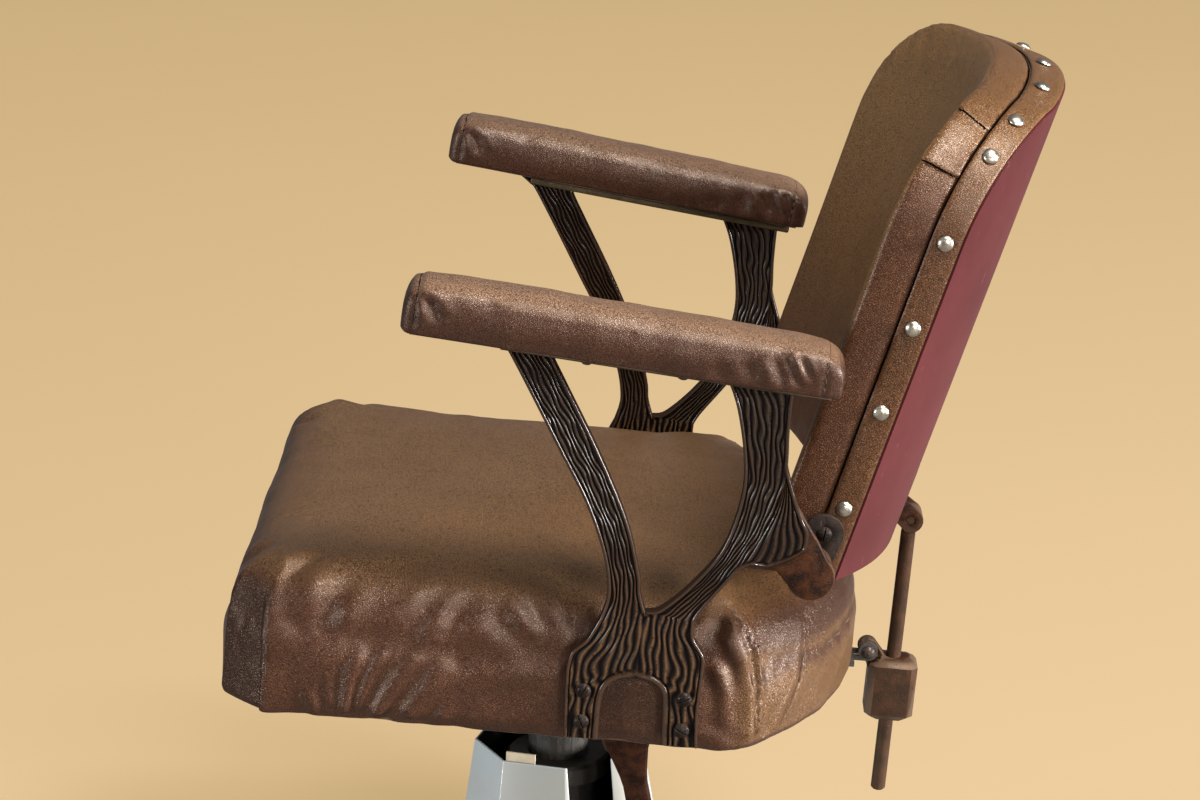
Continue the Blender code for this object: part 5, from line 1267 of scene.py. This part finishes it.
def arm_casting(label):
    seam = range(ROWS[0] - 1, ROWS[0] + ROWS[1] - 2)
    parts = [net_mesh(*strut_net(FRONT_OUTER, FRONT_INNER), seam), net_mesh(*strut_net(REAR_OUTER, REAR_INNER), seam),
             net_mesh(*fan_net())]
    points, faces = [], []
    paints = {"crest": [], "rim": [], "worn": []}
    for part, part_faces, *values in parts:
        start = sum(len(p) for p in points)
        points.append(part)
        faces += [tuple(start + k for k in face) for face in part_faces]
        for name, value in zip(paints, values):
            paints[name].append(np.tile(value, 2))
    mesh = bpy.data.meshes.new(f"arm_casting_{label}")
    mesh.from_pydata(np.vstack(points).tolist(), [], faces)
    arm = bpy.data.objects.new(f"arm_casting_{label}", mesh)
    bpy.context.collection.objects.link(arm)
    for name, values in paints.items():
        paint(arm, name, np.concatenate(values))
    alone(arm)
    bpy.ops.object.mode_set(mode="EDIT")
    bpy.ops.mesh.select_all(action="SELECT")
    bpy.ops.mesh.remove_doubles(threshold=0.00001)
    bpy.ops.mesh.normals_make_consistent(inside=False)
    bpy.ops.object.mode_set(mode="OBJECT")
    return arm


arms = {label: arm_casting(label) for label in SIDES}
print("casting of", len(arms["left"].data.polygons), "faces")

# %% [markdown]
# The rear strut carries a plain lobe with a boss on its inner side, where the back turns on a pin. Under the pad runs a
# flat flange in worn brass paint. Each is a bevelled body of its own, riding on the seat like the casting, with its own
# finish.

# %% Lobe, boss and flange
HINGE = (0.209, 0.169)


def lobe_rings():
    outline = [(0.150, 0.172), (0.180, 0.172)] + arc(HINGE, 0.0205, 205, 412, 30)
    outline += [(0.213, 0.200), (0.201, 0.217), (0.186, 0.240), (0.160, 0.205)]
    return [[Vector((x, depth, z)) for x, z in outline] for depth in (-0.0038, 0.0038)]


def boss_rings(side):
    ends = (0.0, -side * (ARM_PLANE - 0.2438))
    return [[Vector((x, depth, z)) for x, z in arc(HINGE, 0.0189, 0, 352.5, 47)] for depth in ends]


FLANGE_HALF = {"left": 0.0165, "right": 0.0245}


def flange_rings(half):
    section = [(half, -0.006), (half, 0.0), (-half, 0.0), (-half, -0.006)]
    return [[Vector((x, y, z)) for y, z in section] for x in (-0.100, 0.155)]


for label, side in SIDES.items():
    arm = arms[label]
    lobe = grow(f"arm_lobe_{label}", lobe_rings())
    rounded(lobe, 0.0016, 3)
    boss = grow(f"arm_boss_{label}", boss_rings(side))
    rounded(boss, 0.0012, 2)
    flange = grow(f"arm_flange_{label}", flange_rings(FLANGE_HALF[label]))
    rounded(flange, 0.0016, 3)
    place = SEAT @ Matrix.Translation((0, side * ARM_PLANE, 0))
    for piece in (arm, lobe, boss):
        put(piece, place)
    put(flange, PADS[label])
    for piece, finish in ((arm, RIBBED_IRON), (lobe, LOBE_RUST), (boss, LOBE_RUST), (flange, BRASS_PAINT)):
        smooth(piece, 50)
        dress(piece, finish, "seat", "dark_cast_iron")
    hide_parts(f"arm_frame_{label}")
    print(arm.name, "with lobe, boss and flange")

# %% [markdown]
# Domed wood screws with a slot hold the arms to the seat and the hinge plates to the back. One is modelled from half a
# ball, with a slot cut by a thin block, and copied to the ten places.

# %% Slotted screws
def screw_head():
    bpy.ops.object.select_all(action="DESELECT")
    bpy.ops.mesh.primitive_uv_sphere_add(segments=32, ring_count=16, radius=0.0066)
    screw = bpy.context.object
    screw.name = "screw_pattern"
    bpy.ops.object.mode_set(mode="EDIT")
    bpy.ops.mesh.select_all(action="SELECT")
    bpy.ops.mesh.bisect(plane_co=(0, 0, 0), plane_no=(0, 0, 1), use_fill=True, clear_inner=True)
    bpy.ops.mesh.select_all(action="SELECT")
    bpy.ops.transform.resize(value=(1, 1, 0.62))
    bpy.ops.object.mode_set(mode="OBJECT")
    bpy.ops.object.select_all(action="DESELECT")
    bpy.ops.mesh.primitive_cube_add(size=1, location=(0, 0, 0.0042), scale=(0.02, 0.0014, 0.0036))
    blade = bpy.context.object
    cut = screw.modifiers.new("slot", "BOOLEAN")
    cut.operation = "DIFFERENCE"
    cut.object = blade
    apply_all(screw)
    bpy.data.objects.remove(blade)
    return screw


pattern = screw_head()
slots = (64, 118, 25, 150)
made = 0
for label, side in SIDES.items():
    face = Matrix.Rotation(math.radians(-90 * side), 4, "X")
    for i, (x, z) in enumerate([(0.028, 0.051), (0.0285, 0.023), (0.1135, 0.051), (0.1140, 0.0225)]):
        place = SEAT @ Matrix.Translation((x, side * (ARM_PLANE + 0.0060), z)) @ face
        screw = copied(pattern, f"arm_screw_head_{label}_{i + 1}",
                       place @ Matrix.Rotation(math.radians(slots[i]), 4, "Z"))
        smooth(screw, 30)
        dress(screw, DARK_STEEL, "seat", "steel", f"arm_screw_{label}_{i + 1}")
        made += 1
    place = BACK @ Matrix.Translation((0.0025, side * (BACK_HALF + 0.0047), 0.030)) @ face
    screw = copied(pattern, f"hinge_screw_head_{label}", place @ Matrix.Rotation(math.radians(95), 4, "Z"))
    smooth(screw, 30)
    dress(screw, DARK_STEEL, "back", "steel", f"hinge_screw_{label}")
    made += 1
bpy.data.objects.remove(pattern)
print(made, "screw heads")

# %% [markdown]
# Long stitches of dark thread close the pleats and the front seams of the seat, and short ones the end seams of the
# pads. A stitch is a stretched ball. Each copy is laid on the leather where its line passes, and the stitches of one
# cushion are joined into one piece.

# %% Stitches
def stitch_pattern():
    bpy.ops.object.select_all(action="DESELECT")
    bpy.ops.mesh.primitive_uv_sphere_add(segments=10, ring_count=8, radius=0.5)
    pattern = bpy.context.object
    bpy.ops.object.mode_set(mode="EDIT")
    bpy.ops.mesh.select_all(action="SELECT")
    bpy.ops.transform.resize(value=(1, 0.0017, 0.0014))
    bpy.ops.object.mode_set(mode="OBJECT")
    return pattern


def sew(name, cushion, runs):
    """One piece of stitches: each run is a start and an end point near the cushion's surface."""
    pattern = stitch_pattern()
    made = []
    for start, end in runs:
        middle = (start + end) / 2
        found, spot, normal, face = cushion.closest_point_on_mesh(middle)
        ahead = (end - start).normalized()
        ahead = (ahead - normal * ahead.dot(normal)).normalized()
        turn = Matrix((ahead, normal.cross(ahead), normal)).transposed().to_4x4()
        size = Matrix.Diagonal(((end - start).length, 1, 1, 1))
        made.append(copied(pattern, f"{name}_{len(made)}", Matrix.Translation(spot + normal * 0.0001) @ turn @ size))
    bpy.data.objects.remove(pattern)
    alone(made[0])
    for piece in made:
        piece.select_set(True)
    bpy.ops.object.join()
    made[0].name = name
    smooth(made[0], 180)
    dress(made[0], THREAD, "seat", "brown_leather")
    print(name, "of", len(runs), "stitches")


SEAT_RUNS = [((-0.2455, -0.262, 0.088), (-0.2450, -0.263, 0.073)), ((-0.2448, -0.263, 0.062), (-0.2445, -0.264, 0.051)),
             ((-0.2440, -0.264, 0.043), (-0.2435, -0.264, 0.030)), ((0.1705, -0.254, 0.071), (0.1720, -0.254, 0.059)),
             ((0.1775, -0.251, 0.032), (0.1785, -0.250, 0.019)), ((0.2170, -0.198, 0.058), (0.2165, -0.201, 0.045))]
runs = []
for side in (1, -1):
    for start, end in SEAT_RUNS:
        runs.append(tuple(SEAT @ Vector((x, side * y, z)) for x, y, z in (start, end)))
sew("seat_stitches", seat, runs)
for label, side in SIDES.items():
    place = PADS[label] @ Matrix.Translation((0, side * 0.004, 0.0003))
    runs = []
    for x in (PAD_FRONT + 0.012, PAD_REARS[label] - 0.017):
        for y in (-PAD_HALF, PAD_HALF):
            for low in (0.005, 0.013, 0.021, 0.029):
                runs.append((place @ Vector((x, y, low)), place @ Vector((x, y, low + 0.005))))
    sew(f"arm_pad_stitches_{label}", pads[label], runs)

# %% [markdown]
# The other metal pieces are right as solids, but their edges are knife sharp and their round walls faceted. A copy of
# each is merged, its edges are rounded, and it is shaded smooth across gentle bends.

# %% Metal pieces with rounded edges
def finished_copy(name, width, limit=35):
    source = nodes[name]
    piece = source.copy()
    piece.data = source.data.copy()
    piece.name = f"{name}_finished"
    piece.parent = None
    piece.matrix_world = Matrix.Identity(4)
    bpy.context.collection.objects.link(piece)
    alone(piece)
    bpy.ops.mesh.customdata_custom_splitnormals_clear()
    bpy.ops.object.mode_set(mode="EDIT")
    bpy.ops.mesh.select_all(action="SELECT")
    bpy.ops.mesh.remove_doubles(threshold=0.000005)
    bpy.ops.mesh.dissolve_limited(angle_limit=math.radians(1))
    bpy.ops.object.mode_set(mode="OBJECT")
    if width:
        rounded(piece, width, 2, limit)
    smooth(piece, limit)
    return piece


METAL = [("prop_rod", "prop_rod", RUST, "rusty_steel", 0.0006), ("clamp_block", "clamp_block", RUST, "rusty_steel", 0.0012),
         ("rod_lug", "back", RUST, "rusty_steel", 0.0008), ("lug_pin", "back", RUST, "rusty_steel", 0.0006),
         ("hand_lever", "hand_lever", RUST, "rusty_steel", 0.0008),
         ("hinge_plate_left", "back", DARK_STEEL, "steel", 0.0009),
         ("hinge_plate_right", "back", DARK_STEEL, "steel", 0.0009)]
body_of_node = {name: body_of(nodes[name]) for name in nodes}
for name, body, finish, slot, width in METAL:
    piece = finished_copy(name, width)
    dress(piece, finish, body, slot, name)
casing = finished_copy("pedestal_casing", 0.0010)
# Painted shade: faces turned towards the axis are marked to be drawn near black.
inward = [float(face.normal.xy.dot(face.center.xy) < -0.02 * face.center.xy.length) for face in casing.data.polygons]
layer = casing.data.attributes.new("inside", "FLOAT", "FACE")
layer.data.foreach_set("value", np.array(inward, np.float32))
# Painted shade: facets facing the front are marked to be drawn darker and yellowish.
front = [0.7 * float(face.normal.y < -0.85) for face in casing.data.polygons]
layer = casing.data.attributes.new("front_facet_shade", "FLOAT", "FACE")
layer.data.foreach_set("value", np.array(front, np.float32))
dress(casing, ENAMEL, "base", "white_enamel", "pedestal_casing")
print(len(METAL), "metal pieces rounded,", int(sum(inward)), "inner faces of the casing")

# %% [markdown]
# What is left are solids that hardly show: the frame inside the upholstery, the brackets under the seat, and the
# column. They keep their shape and only get a finish that fits.

# %% Finishes of the remaining solids
BY_SLOT = {"brown_leather": SEAT_HIDE, "burgundy_panel": BURGUNDY, "dark_cast_iron": BLACK_IRON, "rusty_steel": RUST,
           "white_enamel": ENAMEL, "black_iron": BLACK_IRON, "steel": DARK_STEEL, "bearing_bronze": BRONZE, "beech": BEECH}
# Painted shade: the ram and the gland nut are steel, but get black iron because they sit in the dark inside the casing;
# the oil cylinder is black.
BY_NODE = {"casing_clip": CREAM, "ram": BLACK_IRON, "gland_nut": BLACK_IRON, "oil_cylinder": BLACK_IRON}
print("solids:", sorted(nodes))
for name, solid in nodes.items():
    if solid.hide_render:
        continue
    given = solid.material_slots[0].material.name.split(".")[0] if solid.material_slots else ""
    finish = BY_NODE.get(name) or BY_SLOT.get(given, BLACK_IRON)
    for place in solid.material_slots:
        place.material = finish
print("slots in use:", sorted({m.material.name for n in nodes.values() for m in n.material_slots if m.material}))

# %% [markdown]
# A pale floor plane, a large soft lamp high on the right in front, a smaller one lower in front on the right, a low sun
# from the right like a window, and a weak cool sun from the left. The floor and the world show the camera an even pale
# backdrop through their own colour for camera rays.

# %% Floor and light
def studio_floor():
    bpy.ops.object.select_all(action="DESELECT")
    bpy.ops.mesh.primitive_plane_add(size=1, location=(0, 2.0, 0))
    floor = bpy.context.object
    floor.name = "studio_floor"
    floor.scale = (60, 60, 1)
    bpy.ops.object.transform_apply(location=True, rotation=True, scale=True)
    finish, tree, shader, place = new_finish("pale_floor", 0.85)
    shader.inputs["Specular IOR Level"].default_value = 0.0
    cloud = use_group(tree, worn_patches, Place=place, Scale=0.8, Cover=0.5, Edge=0.5)["Mask"]
    seen = add_node(tree, "ShaderNodeLightPath").outputs["Is Camera Ray"]
    pale = mixed(tree, cloud, (0.245, 0.185, 0.135), (0.260, 0.198, 0.145))
    tree.links.new(mixed(tree, seen, (0.24, 0.22, 0.20), pale), shader.inputs["Base Color"])
    tree.links.new(mixed(tree, seen, (0.0, 0.0, 0.0), (0.42, 0.288, 0.112)), shader.inputs["Emission Color"])
    shader.inputs["Emission Strength"].default_value = 1.0
    floor.data.materials.append(finish)
    return floor


def lamp(name, kind, place, aim, size, power, colour):
    """A disk of that diameter in metres, or a soft sun of that angle in degrees."""
    data = bpy.data.lights.new(name, kind)
    if kind == "SUN":
        data.angle = math.radians(size)
    else:
        data.shape = "DISK"
        data.size = size
    data.energy = power
    data.color = colour
    light = bpy.data.objects.new(name, data)
    bpy.context.collection.objects.link(light)
    light.location = place
    light.rotation_euler = (Vector(aim) - Vector(place)).to_track_quat("-Z", "Y").to_euler()
    return light


studio_floor()
lamp("top_lamp", "AREA", (2.6, -1.8, 5.6), (0.1, 0, 0.6), 2.0, 540, (1.0, 0.98, 0.95))
lamp("key_lamp", "AREA", (2.3, -4.5, 2.0), (0.1, 0, 0.5), 1.4, 130, (1.0, 0.98, 0.96))
lamp("window_sun", "SUN", (5.0, -0.9, 0.99), (0.1, 0, 0.5), 11, 7.2, (1.0, 0.98, 0.96))
lamp("fill_sun", "SUN", (-3.9, -2.4, 0.80), (0, 0, 0.35), 12, 2.1, (0.92, 0.97, 1.0))
world = bpy.data.worlds.new("studio_world")
bpy.context.scene.world = world
world.use_nodes = True
sky = world.node_tree.nodes["Background"]
seen = add_node(world.node_tree, "ShaderNodeLightPath").outputs["Is Camera Ray"]
world.node_tree.links.new(mixed(world.node_tree, seen, (0.166, 0.169, 0.18), (0.47, 0.325, 0.145)), sky.inputs["Color"])
sky.inputs["Strength"].default_value = 1.0
bpy.context.scene.view_settings.view_transform = "Standard"
